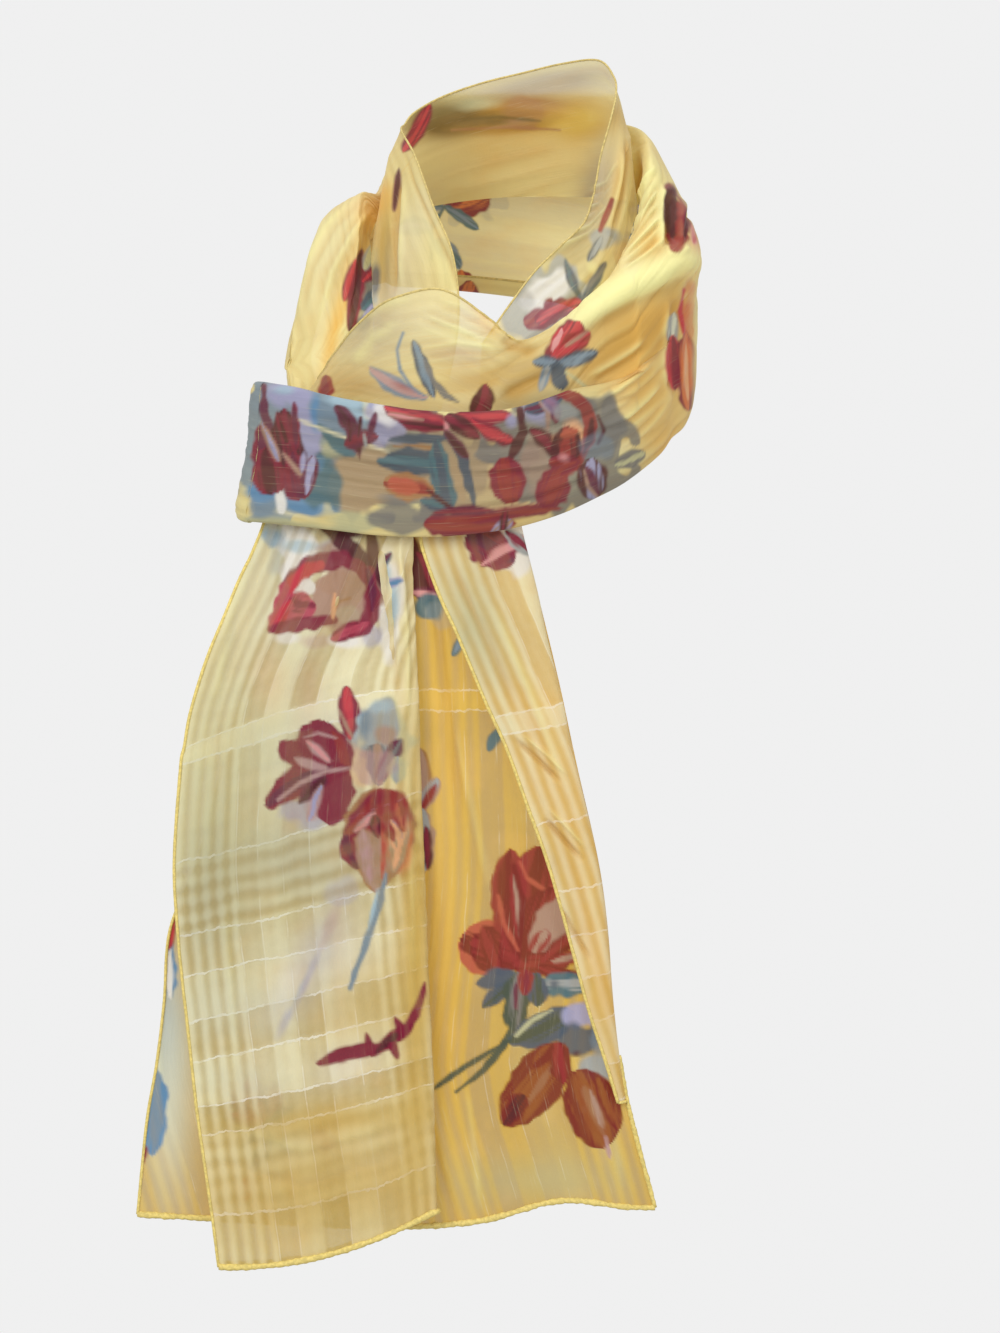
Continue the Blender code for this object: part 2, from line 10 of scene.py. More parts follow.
import bpy
import mathutils
import numpy as np
from bpy.props import FloatProperty, FloatVectorProperty, PointerProperty
from bpy.types import Operator, Panel, PropertyGroup
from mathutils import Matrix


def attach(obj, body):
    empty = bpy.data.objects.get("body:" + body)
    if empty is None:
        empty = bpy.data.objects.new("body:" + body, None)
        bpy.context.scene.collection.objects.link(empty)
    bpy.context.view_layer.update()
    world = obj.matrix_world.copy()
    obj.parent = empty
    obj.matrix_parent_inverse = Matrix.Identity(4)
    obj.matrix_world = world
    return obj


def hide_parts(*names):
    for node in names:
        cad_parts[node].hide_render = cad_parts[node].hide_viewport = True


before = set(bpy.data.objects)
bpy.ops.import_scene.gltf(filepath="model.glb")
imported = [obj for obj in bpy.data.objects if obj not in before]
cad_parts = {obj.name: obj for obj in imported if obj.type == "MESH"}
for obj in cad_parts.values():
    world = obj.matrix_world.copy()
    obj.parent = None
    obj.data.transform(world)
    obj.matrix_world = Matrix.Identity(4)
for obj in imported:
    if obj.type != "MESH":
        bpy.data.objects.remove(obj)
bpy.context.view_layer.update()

bl_info = {
    "name": "Chiffon scarf",
    "version": (1, 0, 0),
    "blender": (4, 5, 0),
    "location": "3D View > Sidebar > Scarf",
    "description": "A sheer printed scarf in its worn form, with its stage",
    "category": "Object",
}

MM = 0.001

# The camera's frame, and where it stands: in front, a little above.
FRAME_WIDTH = 1000
FRAME_HEIGHT = 1333
TARGET = np.array([0.0, -40.0, -175.0])
DISTANCE = 2000.0
ELEVATION = math.radians(12)
SEEN_HEIGHT = 585.0  # mm of the target's plane that the frame's height takes in
STEP = SEEN_HEIGHT / FRAME_HEIGHT  # mm to a pixel there

# ---- The form: fold lines as in the model, each a row of places along the cloth

# The neck side behind and on the right: turn, then radius and height of hem, middle and foot.
STAND_ROWS = (
    (112, 45, 57, 49, 38, 54, 13),
    (128, 48, 61, 51, 40, 55.5, 15),
    (148, 50, 66.5, 52.5, 44, 57, 17.5),
    (170, 52, 72, 54, 47, 58, 19.5),
    (190, 53, 76.5, 54.5, 50, 58.5, 21),
    (212, 53.5, 81.5, 55, 53, 59, 21.5),
    (235, 53, 84, 55.5, 56, 59.3, 22.5),
    (250, 53, 78, 56.5, 56, 60, 23),
    (264, 51, 72, 57, 54, 60.5, 23),
    (280, 49, 62, 57.5, 50, 61, 21),
    (290, 46.5, 46.5, 57.5, 43, 61.5, 17),
    (299, 46.5, 31, 58, 27, 62.5, 8),
    (313, 49.5, 19.5, 61, 8, 65, -6),
    (329, 52.5, 11.5, 66.5, -8, 70, -18),
    (345, 57.5, 1, 73, -20, 75.5, -29),
    (357, 66, -13, 78.5, -29, 79.5, -38),
    (366, 74, -28, 82, -40, 82, -50),
)

# The outer turn: turn, then radius and height of crest, shoulder, side, bottom and hem.
TURN_ROWS = (
    (130, 59, 40, 67.5, 24, 73, 3, 72, -18, 66.5, -12),
    (155, 62, 54, 71.5, 29, 76, 0, 73, -22, 67.5, -15),
    (180, 63.5, 58, 73.5, 31, 78, 0, 74.5, -26, 68.5, -18),
    (210, 65, 58, 76, 32, 81, 0, 77, -31, 70.5, -22),
    (240, 66, 55, 79, 30, 85, -4, 80, -40, 74, -31),
    (258, 65, 52.5, 79.5, 20, 88, -16, 83, -50, 77, -41),
    (274, 65, 48.5, 86, 11, 86.5, -26, 84, -62, 77.5, -53),
    (287, 68, 44, 89, 9, 84.5, -24, 84, -71, 77, -62),
    (294, 71, 37, 90.5, 6, 83, -26, 81, -76, 75, -67),
    (302, 73.5, 26, 90, 1, 87, -31, 80.5, -82, 75, -73),
    (317, 76.5, 8, 88.5, -5, 90.5, -40, 80, -90, 74.5, -81),
)

# The front: turn, then radius and height of hem, crown, belly, tuck, band top, face, bottom and
# lower hem.
FRONT_ROWS = (
    (330, 72, -18, 80.5, -8, 89, -12, 89.3, -48, 90.9, -43.5, 90, -70, 82, -95, 77, -87),
    (342, 79, -23, 83, -17, 89, -21, 90.5, -57, 95, -44.5, 94, -71, 85.5, -100, 80.5, -91),
    (354, 83.5, -26.5, 85.5, -24, 89, -30, 91, -65, 98.5, -50.5, 98, -77, 90, -104, 84.5, -95),
    (364, 86, -14, 89, -18, 92.5, -34, 94, -70, 101.5, -52.5, 101, -79, 94.5, -106, 88.5, -97),
    (376, 89, -3, 93, -16, 97, -36, 98, -70, 105, -52.3, 104.5, -79.5, 101, -107, 95, -98),
    (388, 91, -6.8, 96, -20, 100.5, -40, 102, -70, 110, -50, 110.5, -78, 108.5, -106.5, 102.5, -98),
    (397, 93, -15.6, 98, -28, 103, -45, 106, -68, 114, -48, 115.5, -77, 115.5, -105, 110, -97),
    (406, 95, -29.5, 100, -38, 106, -51, 110, -66, 119, -45, 122, -75, 124, -104, 118, -96),
    (414, 96.5, -45, 102, -50, 107.5, -57, 112, -64, 124, -44, 128, -74, 132.5, -104, 126, -96),
)

# The first strand, from the band up to the back of the neck: (turn, radius, height) of each line.
STRAND_LINES = {
    "neck hem": (
        (25, 84, -83), (19, 75, -52), (16, 65, -20), (22, 54, 7), (38, 47, 27), (58, 43.5, 47),
        (84, 43, 56),
    ),
    "lapel fold": (
        (31, 91, -83), (32, 86, -62), (35, 77, -38), (43, 66, -10), (56, 57, 10), (75, 50.5, 29),
        (94, 49, 45),
    ),
    "valley": (
        (38, 90.5, -83), (39.7, 86, -70.5), (43.7, 79, -55.5), (53.5, 68, -32), (64.5, 61.5, -12),
        (78.5, 57, 4.5), (95.5, 54.5, 15),
    ),
    "crest": (
        (47, 105, -83), (50, 100, -67), (55, 91, -46), (59.5, 80, -29), (63, 71, -10),
        (70, 65, 13), (90, 61, 28),
    ),
    "roll": (
        (49, 114, -83), (52, 111, -68), (60, 105, -50), (69, 98, -38), (73, 91, -17), (78, 84, 4),
        (92, 76, 19),
    ),
    "bottom": (
        (51, 110, -83), (53, 107, -67), (58, 103, -49), (70, 95, -40), (79, 89, -29),
        (86, 83, -20), (96, 76, -16),
    ),
    "outer hem": (
        (45.5, 103, -83), (50, 101, -66), (57, 95, -49), (72, 87, -39), (82, 81, -27),
        (89, 76, -17), (98, 70, -12),
    ),
}
STRAND_CORNER = (
    (112, 45.0, 57.0), (112, 49.0, 38.0), (112, 54.2, 13.5), (112, 57.5, 27.0), (112, 65.0, 15.0),
    (112, 69.0, -14.0), (112, 64.0, -9.0),
)

# The left end of the band, turned back behind: x, y, z of its top edge and of its bottom edge.
RETURN_ROWS = (
    (-103.6, -65.5, -45, -112, -69.5, -103.5),
    (-101.5, -56.5, -48, -109, -59, -103),
    (-94, -50.5, -52, -99, -51, -102.5),
    (-82, -48.5, -55, -84, -48.5, -103),
    (-66, -50, -58, -66, -50, -104),
    (-48, -53, -61, -47, -53, -105),
    (-30, -56, -65, -29, -56, -105.5),
    (-12, -58, -70, -11, -58, -105),
    (4, -58, -76, 5, -58, -103),
)

# The hanging ends: height and depth of the front end's face.
DEPTH_ROWS = (
    (-80, -80.5), (-95, -84.0), (-115, -91.0), (-140, -99.0), (-180, -108.0), (-230, -114.0),
    (-300, -118.0), (-430, -121.0),
)

# Thread lines across the hanging ends: distance from the end hem, left x, left z, right x, right z, sag.
FRONT_END_ROWS = (
    (340, -97, -84, -40, -84, 0),
    (318, -101.3, -105.6, -37.8, -103.5, 0.5),
    (293, -111.8, -130, -37.4, -122, 1),
    (266, -123.1, -154.6, -37, -139, 0),
    (238, -131.2, -179.5, -36.9, -156, -2),
    (220.5, -134.2, -195.5, -36.6, -170.3, -4.2),
    (212, -135.7, -203, -36.5, -176.5, -1.8),
    (172, -138.8, -245, -35.4, -214.6, 2.4),
    (142.5, -137.5, -277, -34, -251.3, 1.1),
    (123, -136, -294.6, -33, -271.6, 0),
    (104.5, -134, -315, -32.4, -289.7, 0),
    (86, -132.4, -332.2, -31.8, -307.9, 1),
    (66, -130.5, -352, -31, -329.6, 2),
    (50, -129, -364.5, -30.4, -341.5, 3),
    (18, -124.4, -400.4, -29.6, -377.8, 5),
    (0, -121.8, -423.6, -29, -399, 7),
)
BACK_END_ROWS = (
    (303, -84, -98, 3, -77, 0),
    (293, -87, -105, 6, -90, 0),
    (282.5, -90, -113, 9, -104, 0),
    (256, -98, -136, 17.1, -136.2, 0),
    (224, -108, -169, 25.2, -169.5, 0),
    (190.5, -118, -204, 32.6, -204, 0.5),
    (151, -129, -245, 42, -245.5, 1),
    (121, -141.5, -276, 46.3, -276, 2),
    (90.5, -144.5, -308, 48.7, -307.8, 3),
    (64.5, -148, -335, 51.8, -334.5, 4),
    (38.5, -152.8, -362, 57.1, -361.3, 5),
    (0, -157.3, -403, 67.3, -400.5, 5),
)

# The edge of the back end that is turned over to the front: hem x, hem z, fold x, fold z.
TURNOVER_ROWS = (
    (-33.3, -103, 8.2, -102),
    (-33.3, -111.6, 10.6, -110.6),
    (-26, -131.5, 16.2, -132),
    (-18.3, -148, 20, -150),
    (-6.4, -176.6, 26.4, -176),
    (3, -197.7, 30.6, -197),
    (11.9, -222.5, 36.6, -222),
    (19.7, -244, 41.6, -244),
    (25.7, -264.5, 44.9, -264.5),
    (32.2, -288.5, 47.2, -288.5),
    (38.7, -312.7, 49.2, -312),
    (45.2, -332.7, 51.6, -332.5),
    (51, -352, 54.4, -352),
)
BACK_LAYER = 2.0
BACK_LAYER_LOOSE = 4.2
BACK_END = 4.2
BACK_END_LOOSE = 10.0
TURNOVER_LIFT = 3.8
LOOSE_FROM = -122.0
LOOSE_TO = -200.0
BACK_END_SET = 15.0
BACK_END_SET_HEIGHTS = (-108.0, -86.0)
UNDER_BAND = 17.0
UNDER_BAND_FROM = -37.0
UNDER_BAND_TO = -101.0
UNDER_BAND_HEIGHTS = (-150.0, -108.0)


def eased(value, start, end):
    """0 at `start`, 1 at `end`, with a smooth slope between."""
    share = np.clip((value - start) / (end - start), 0, 1)
    return share * share * (3 - 2 * share)


def bump(value, middle, half):
    return np.exp(-(((value - middle) / half) ** 2))


def curve_between(start, end, slope_in, slope_out, part):
    square = part * part
    cube = square * part
    return (
        (2 * cube - 3 * square + 1) * start
        + (cube - 2 * square + part) * slope_in
        + (3 * square - 2 * cube) * end
        + (cube - square) * slope_out
    )


def along(points, where):
    """Points of the smooth curve through `points`, at the stations `where` counted from 0."""
    points = np.asarray(points, float)
    last = len(points) - 1
    where = np.clip(np.asarray(where, float), 0, last)
    index = np.minimum(where.astype(int), last - 1)
    part = (where - index)[:, None]
    start = points[index]
    end = points[index + 1]
    before = points[np.maximum(index - 1, 0)]
    after = points[np.minimum(index + 2, last)]
    slope_in = np.where((index > 0)[:, None], (end - before) / 2, end - start)
    slope_out = np.where((index < last - 1)[:, None], (after - start) / 2, end - start)
    return curve_between(start, end, slope_in, slope_out, part)


def from_polar(line):
    turn = np.radians(line[..., 0])
    return np.stack([-line[..., 1] * np.sin(turn), -line[..., 1] * np.cos(turn), line[..., 2]], -1)


def length_of(vectors):
    return np.linalg.norm(vectors, axis=-1)


def unit(vectors):
    return vectors / np.maximum(length_of(vectors), 1e-9)[..., None]


def softened(sections, folds, half):
    """Sections with each line in `folds` made three points, `half` mm apart, so that it bends round.

    The second result says which fold line each point belongs to, as a number with a share."""
    made = [sections[:, 0]]
    lanes = [0.0]
    for i in range(1, sections.shape[1] - 1):
        here = sections[:, i]
        if i in folds:
            arriving = unit(here - sections[:, i - 1])
            leaving = unit(sections[:, i + 1] - here)
            sharp = ((1 - (arriving * leaving).sum(-1)) / 2)[:, None]
            aside = half * sharp * sharp * unit(arriving + leaving)
            made += [here - half * arriving - aside, here, here + half * leaving + aside]
            lanes += [i - 0.1, i, i + 0.1]
        else:
            made.append(here)
            lanes.append(i)
    made.append(sections[:, -1])
    lanes.append(sections.shape[1] - 1)
    return np.stack(made, 1), np.array(lanes, float)


def across(sections, counts):
    """Each section's smooth curve, with `counts` faces between each of its points and the next."""
    spans = np.sqrt(length_of(np.diff(sections, axis=1)))[..., None]
    made = []
    last = sections.shape[1] - 2
    for i, count in enumerate(counts):
        here = sections[:, i]
        following = sections[:, i + 1]
        span = spans[:, i]
        before = sections[:, i - 1] if i > 0 else 2 * here - following
        gap_before = spans[:, i - 1] if i > 0 else span
        after = sections[:, i + 2] if i < last else 2 * following - here
        gap_after = spans[:, i + 1] if i < last else span
        middle = (following - here) / span
        slope_in = (here - before) / gap_before - (following - before) / (gap_before + span) + middle
        slope_out = (
            middle - (after - here) / (span + gap_after) + (after - following) / gap_after
        )
        for share in np.linspace(0, 1, count, endpoint=False):
            made.append(curve_between(here, following, slope_in * span, slope_out * span, share))
    made.append(sections[:, -1])
    return np.stack(made, 1)


def even_stations(lines, step):
    """Stations about `step` mm apart along the middle of the sheet."""
    dense = np.linspace(0, len(lines[0]) - 1, 40 * len(lines[0]))
    run = np.mean([length_of(np.diff(along(line, dense), axis=0)) for line in lines], axis=0)
    walked = np.concatenate([[0], np.cumsum(run)])
    count = int(round(walked[-1] / step))
    return np.interp(np.linspace(0, walked[-1], count + 1), walked, dense)


def lofted(lines, step, folds=(), half=1.9, finer=1.0):
    """A grid of points over fold lines given in x, y and z, with faces about `step` mm wide, and
    `finer` times as many across.

    Also the station of each row, counted in rows of the table, and the lane of each column,
    counted in fold lines."""
    stations = even_stations(lines, step)
    sections = np.stack([along(line, stations) for line in lines], 1)
    sections, marks = softened(sections, folds, half)
    widths = length_of(np.diff(sections, axis=1)).mean(0)
    counts = [max(2, int(round(width * finer / step))) for width in widths]
    lanes = [
        np.linspace(marks[i], marks[i + 1], count, endpoint=False) for i, count in enumerate(counts)
    ]
    return across(sections, counts), stations, np.concatenate(lanes + [marks[-1:]])


def ring_lines(rows):
    """Lines in x, y and z from rows of one turn and pairs of radius and height."""
    table = np.array(rows, float)
    return [
        from_polar(np.stack([table[:, 0], table[:, i], table[:, i + 1]], 1))
        for i in range(1, table.shape[1], 2)
    ]


def strand_line(name, corner):
    return from_polar(np.array(list(STRAND_LINES[name]) + [STRAND_CORNER[corner]], float))


def collar_grid(step):
    """The neck side: the first strand's lapel, the stand behind and the lapel on the right."""
    stand = ring_lines(STAND_ROWS)
    names = ("neck hem", "lapel fold", "valley")
    lines = []
    for i, name in enumerate(names):
        lines.append(np.concatenate([strand_line(name, i)[:-1], stand[i]]))
    return lofted(lines, step, folds=(1,), half=3.0)


def wrap_grid(step):
    """The outer side of the whole turn, then the front with its pleat, as far as the band's end."""
    turn = np.array(TURN_ROWS, float)
    front = np.array(FRONT_ROWS, float)
    strand = {name: strand_line(name, i) for i, name in enumerate(STRAND_LINES)}
    crest, shoulder, side, bottom, hem = ring_lines(TURN_ROWS)
    stand = np.array(STAND_ROWS, float)
    foot = np.stack([np.interp(turn[:, 0], stand[:, 0], stand[:, i]) for i in (5, 6)], 1)
    foot = from_polar(np.stack([turn[:, 0], foot[:, 0] + 0.4, foot[:, 1]], 1))
    roll, low = strand["roll"], strand["bottom"]
    out = unit(np.stack([roll[:, 0] + low[:, 0], roll[:, 1] + low[:, 1], 0 * roll[:, 0]], 1))
    bulge = np.interp(np.arange(len(roll)), [0, len(roll) - 1], [1.0, 3.0])[:, None]
    strand_side = (roll + low) / 2 + out * bulge
    starts = [
        strand["valley"], strand["crest"], roll,
        strand_side * 0.75 + roll * 0.25, strand_side * 0.95 + roll * 0.05,
        strand_side * 0.45 + low * 0.55 + out * bulge * 0.35, low, strand["outer hem"],
    ]
    pleat = np.clip((turn[:, 0] - 300) / 30, 0, 1)[:, None]
    drop = np.array([0, 0, 1.0])
    middles = [
        foot, crest, shoulder,
        side * 0.85 + shoulder * 0.15 - drop * 6 * pleat, side + drop * 2 * pleat,
        side * 0.5 + bottom * 0.5 + unit(side * [1, 1, 0]) * 1.5, bottom, hem,
    ]
    ends = ring_lines(front)
    lines = [np.concatenate(three) for three in zip(starts, middles, ends)]
    return lofted(lines, step, folds=(1, 3, 4, 6), half=2.0, finer=1.25)


def depth_at(height):
    table = np.array(sorted(DEPTH_ROWS), float)
    return np.interp(height, table[:, 0], table[:, 1])


def loosened(height, pressed, loose):
    return pressed + (loose - pressed) * eased(height, LOOSE_FROM, LOOSE_TO)


def face_depth(x, height):
    """Depth of the front end's face, which is curved under the band."""
    share = (UNDER_BAND_FROM - x) / (UNDER_BAND_FROM - UNDER_BAND_TO)
    inward = np.clip(share, 0, 1.3) ** 2
    return depth_at(height) + UNDER_BAND * inward * eased(height, *UNDER_BAND_HEIGHTS)


def thread_lines(rows, stations, shares):
    """x and z over a hanging end: a row for each station, a column for each share across."""
    table = along(np.array(rows)[:, 1:], stations)
    left_x, left_z, right_x, right_z, sag = (table[:, i][:, None] for i in range(5))
    x = left_x + (right_x - left_x) * shares
    z = left_z + (right_z - left_z) * shares - sag * 4 * shares * (1 - shares)
    return x, z


def end_stations(rows, step):
    table = np.array(rows, float)[:, 1:]
    middle = np.stack([(table[:, 0] + table[:, 2]) / 2, (table[:, 1] + table[:, 3]) / 2], 1)
    return even_stations([middle], step)


def back_end_depth(x, z):
    behind = loosened(z, BACK_END, BACK_END_LOOSE) + BACK_END_SET * eased(z, *BACK_END_SET_HEIGHTS)
    return face_depth(x, z) + behind


def pleat_lift(shares, height, pleats):
    """How far lengthwise pleats lift a hanging end forward: share across, half width, mm, end."""
    lift = np.zeros(np.broadcast(shares, height).shape)
    for middle, half_width, tall, died_out in pleats:
        fade = np.clip((height - died_out) / (LOOSE_FROM - died_out), 0, 1)
        lift = lift + tall * fade * bump(shares, middle, half_width)
    return lift


FRONT_END_PLEATS = (
    (0.93, 0.045, 3.2, -300.0),
    (0.8, 0.05, 1.8, -240.0),
    (0.62, 0.07, 1.4, -230.0),
    (0.3, 0.1, 1.5, -260.0),
    (0.12, 0.06, -1.2, -330.0),
)
BACK_END_PLEATS = (
    (0.18, 0.1, -1.5, -460.0),
    (0.42, 0.07, -1.5, -420.0),
    (0.68, 0.08, 1.4, -480.0),
    (0.86, 0.05, -1.2, -480.0),
)
STRIP_WIDTH = 225.0


def front_end_grid(step):
    """The front end, doubled: its face from the left hem to the fold, then the layer behind."""
    stations = end_stations(FRONT_END_ROWS, step)
    face = np.linspace(0, 1, int(105 / step) + 1)
    behind = np.linspace(1, 0.01, int(70 / step) + 1)
    x, z = thread_lines(FRONT_END_ROWS, stations, face)
    y = face_depth(x, z) - pleat_lift(face, z, FRONT_END_PLEATS)
    points = [np.stack([x, y, z], -1)]
    edge = points[0][:, -1]
    bend = loosened(edge[:, 2], BACK_LAYER, BACK_LAYER_LOOSE)[:, None] / 2
    for angle in np.radians([36, 72, 108, 144]):
        round_fold = np.array([math.sin(angle), 1 - math.cos(angle), 0])
        points.append((edge + bend * round_fold)[:, None])
    back_x, back_z = thread_lines(FRONT_END_ROWS, stations, behind)
    back_y = face_depth(back_x, back_z) - pleat_lift(behind, back_z, FRONT_END_PLEATS)
    back_y = back_y + loosened(back_z, BACK_LAYER, BACK_LAYER_LOOSE)
    points.append(np.stack([back_x, back_y, back_z], -1))
    return np.concatenate(points, 1), len(face)


def back_end_grid(step):
    stations = end_stations(BACK_END_ROWS, step)
    shares = np.linspace(0, 1, int(190 / step) + 1)
    x, z = thread_lines(BACK_END_ROWS, stations, shares)
    to_end = along(np.array(BACK_END_ROWS)[:, :1], stations)
    z = z + eased(to_end, 70, 0) * (7.0 * bump(shares, 0.82, 0.11) - 2.0 * bump(shares, 0.5, 0.2))
    y = back_end_depth(x, z) - pleat_lift(shares, z, BACK_END_PLEATS)
    return np.stack([x, y, z], -1)


def back_end_share(x, z):
    """The share across the back end of a point on it."""
    table = np.array(BACK_END_ROWS, float)[:, 1:]
    level = -(table[:, 1] + table[:, 3]) / 2
    left = np.interp(-z, level, table[:, 0])
    right = np.interp(-z, level, table[:, 2])
    return (x - left) / (right - left)


def turnover_grid(step):
    """The turned-over edge of the back end, from its hem round to the fold at the side."""
    table = np.array(TURNOVER_ROWS, float)
    middle = np.stack([(table[:, 0] + table[:, 2]) / 2, (table[:, 1] + table[:, 3]) / 2], 1)
    rows = along(table, even_stations([middle], step))
    shares = np.sin(np.linspace(0, 1, int(44 / step) + 1) * math.pi / 2)
    x = rows[:, :1] + (rows[:, 2:3] - rows[:, :1]) * shares
    z = rows[:, 1:2] + (rows[:, 3:4] - rows[:, 1:2]) * shares
    to_fold = (rows[:, 2:3] - x) / 6.0
    lift = 0.4 + (TURNOVER_LIFT - 0.4) * np.sqrt(1 - (1 - np.clip(to_fold, 0, 1)) ** 2)
    share = back_end_share(x, z)
    y = back_end_depth(x, z) - pleat_lift(share, z, BACK_END_PLEATS) - lift
    return np.stack([x, y, z], -1)


def turned_end_grid(step):
    """The band's left end: its last stretch, the turn, and the hidden return behind the strand."""
    front = [line[-3:] for line in ring_lines(FRONT_ROWS)[3:]]
    rows = np.array(RETURN_ROWS, float)
    top, bottom = rows[:, :3], rows[:, 3:]
    along_band = unit(np.gradient((top + bottom) / 2, axis=0))
    inward = unit(np.cross(along_band, [0, 0, 1.0]))
    ends = [
        top * 0.72 + bottom * 0.28 + inward * 2.5, top, (top + bottom) / 2 - inward * 1.0, bottom,
        bottom * 0.86 + top * 0.14 + inward * 3.0,
    ]
    lines = [np.concatenate(pair) for pair in zip(front, ends)]
    return lofted(lines, step, folds=(1, 3), half=2.0)


# ---- Where points are seen in the camera's frame, and how far they are from what is drawn there

BACKWARD = np.array([0.0, -math.cos(ELEVATION), math.sin(ELEVATION)])
UPWARD = np.array([0.0, math.sin(ELEVATION), math.cos(ELEVATION)])
LENS_REACH = DISTANCE * FRAME_HEIGHT / SEEN_HEIGHT


def seen_at(points):
    """Across and down in the camera's frame."""
    ray = points - (TARGET + BACKWARD * DISTANCE)
    away = -(ray @ BACKWARD)
    across_frame = FRAME_WIDTH / 2 + LENS_REACH * ray[..., 0] / away
    down_frame = FRAME_HEIGHT / 2 - LENS_REACH * (ray @ UPWARD) / away
    return np.stack([across_frame, down_frame], -1)


def scrambled(i, j, seed):
    value = np.sin(i * 127.1 + j * 311.7 + seed * 74.7) * 43758.5453
    return value - np.floor(value)


def noise(x, y, seed=0):
    """Smooth noise between 0 and 1, with one bump to a unit."""
    i, j = np.floor(x), np.floor(y)
    a, b = x - i, y - j
    a, b = a * a * (3 - 2 * a), b * b * (3 - 2 * b)
    low = scrambled(i, j, seed) * (1 - a) + scrambled(i + 1, j, seed) * a
    high = scrambled(i, j + 1, seed) * (1 - a) + scrambled(i + 1, j + 1, seed) * a
    return low * (1 - b) + high * b


def ridged(x, y, seed=0):
    """Noise with rounded ridges and narrow troughs, between 0 and 1."""
    return np.abs(2 * noise(x, y, seed) - 1) ** 0.8


def distance_to_path(place, path):
    """Distance from each place to a path of straight stretches, and how far along it that is."""
    path = np.asarray(path, float)
    best = np.full(place.shape[:-1], 1e9)
    where = np.zeros(place.shape[:-1])
    for i in range(len(path) - 1):
        axis = path[i + 1] - path[i]
        share = np.clip(((place - path[i]) @ axis) / (axis @ axis), 0, 1)
        apart = length_of(place - path[i] - share[..., None] * axis)
        nearer = apart < best
        best = np.where(nearer, apart, best)
        where = np.where(nearer, (i + share) / (len(path) - 1), where)
    return best, where


# ---- The print: petals, strokes, washes and tints, in the order in which they are laid; some tints are painted shade and painted highlight


def linear(red, green, blue):
    """A colour given as 0 to 255, as the shader takes it."""
    shown = np.array([red, green, blue]) / 255
    return np.where(shown <= 0.04045, shown / 12.92, ((shown + 0.055) / 1.055) ** 2.4)


INKS = {
    "crimson": linear(134, 16, 54),
    "deep": linear(84, 12, 32),
    "maroon": linear(106, 22, 62),
    "red": linear(202, 50, 68),
    "brick": linear(152, 42, 44),
    "pink": linear(226, 156, 156),
    "rust": linear(190, 88, 66),
    "orange": linear(216, 118, 66),
    "peach": linear(234, 176, 128),
    "taupe": linear(178, 142, 122),
    "teal": linear(76, 112, 122),
    "leaf": linear(66, 80, 68),
    "wine": linear(124, 26, 26),
    "umber": linear(150, 76, 34),
    "sand": linear(160, 104, 70),
    "dusk": linear(74, 88, 104),
    "blue": linear(92, 142, 184),
    "sky": linear(172, 200, 214),
    "grey blue": linear(122, 144, 162),
    "grey": linear(166, 170, 168),
    "shade": linear(122, 120, 118),
    "lavender": linear(168, 166, 200),
    "white": linear(240, 238, 232),
    "tan": linear(178, 152, 116),
    "cream": linear(232, 224, 184),
    "mist": linear(222, 226, 204),
    "straw": linear(214, 180, 84),
    "thread": linear(255, 253, 238),
    "mauve": linear(190, 152, 150),
    "rose": linear(186, 70, 92),
    "lemon": linear(252, 250, 178),
    "gold": linear(240, 190, 92),
    "amber": linear(196, 148, 60),
    "sage": linear(196, 194, 150),
    "olive": linear(120, 94, 40),
    "brown": linear(170, 122, 76),
    "sheer": linear(186, 172, 142),
}


def petal(base_across, base_down, tip_across, tip_down, half_width, rim, heart=None, bend=0, peak=0.5):
    """A petal from its base to its tip, in the inks of its rim and its heart.

    `bend` pushes its middle aside, and `peak` is how far along it is widest."""
    base = (base_across, base_down)
    tip = (tip_across, tip_down)
    return "petal", base, tip, half_width, bend, peak, rim, heart or rim


def stroke(ink, half_width, *path):
    """A line of paint through the places of `path`."""
    return "stroke", path, half_width, ink


def wash(across_at, down_at, half_across, half_down, ink, strength, tilt=0, kind="wash"):
    """A patch with a ragged edge, turned by `tilt` degrees."""
    return kind, across_at, down_at, half_across, half_down, ink, strength, tilt


def tint(*place_and_ink, tilt=0):
    """A patch that fades out all round, laid before the painted fold shade and highlight."""
    return wash(*place_and_ink, tilt=tilt, kind="tint")


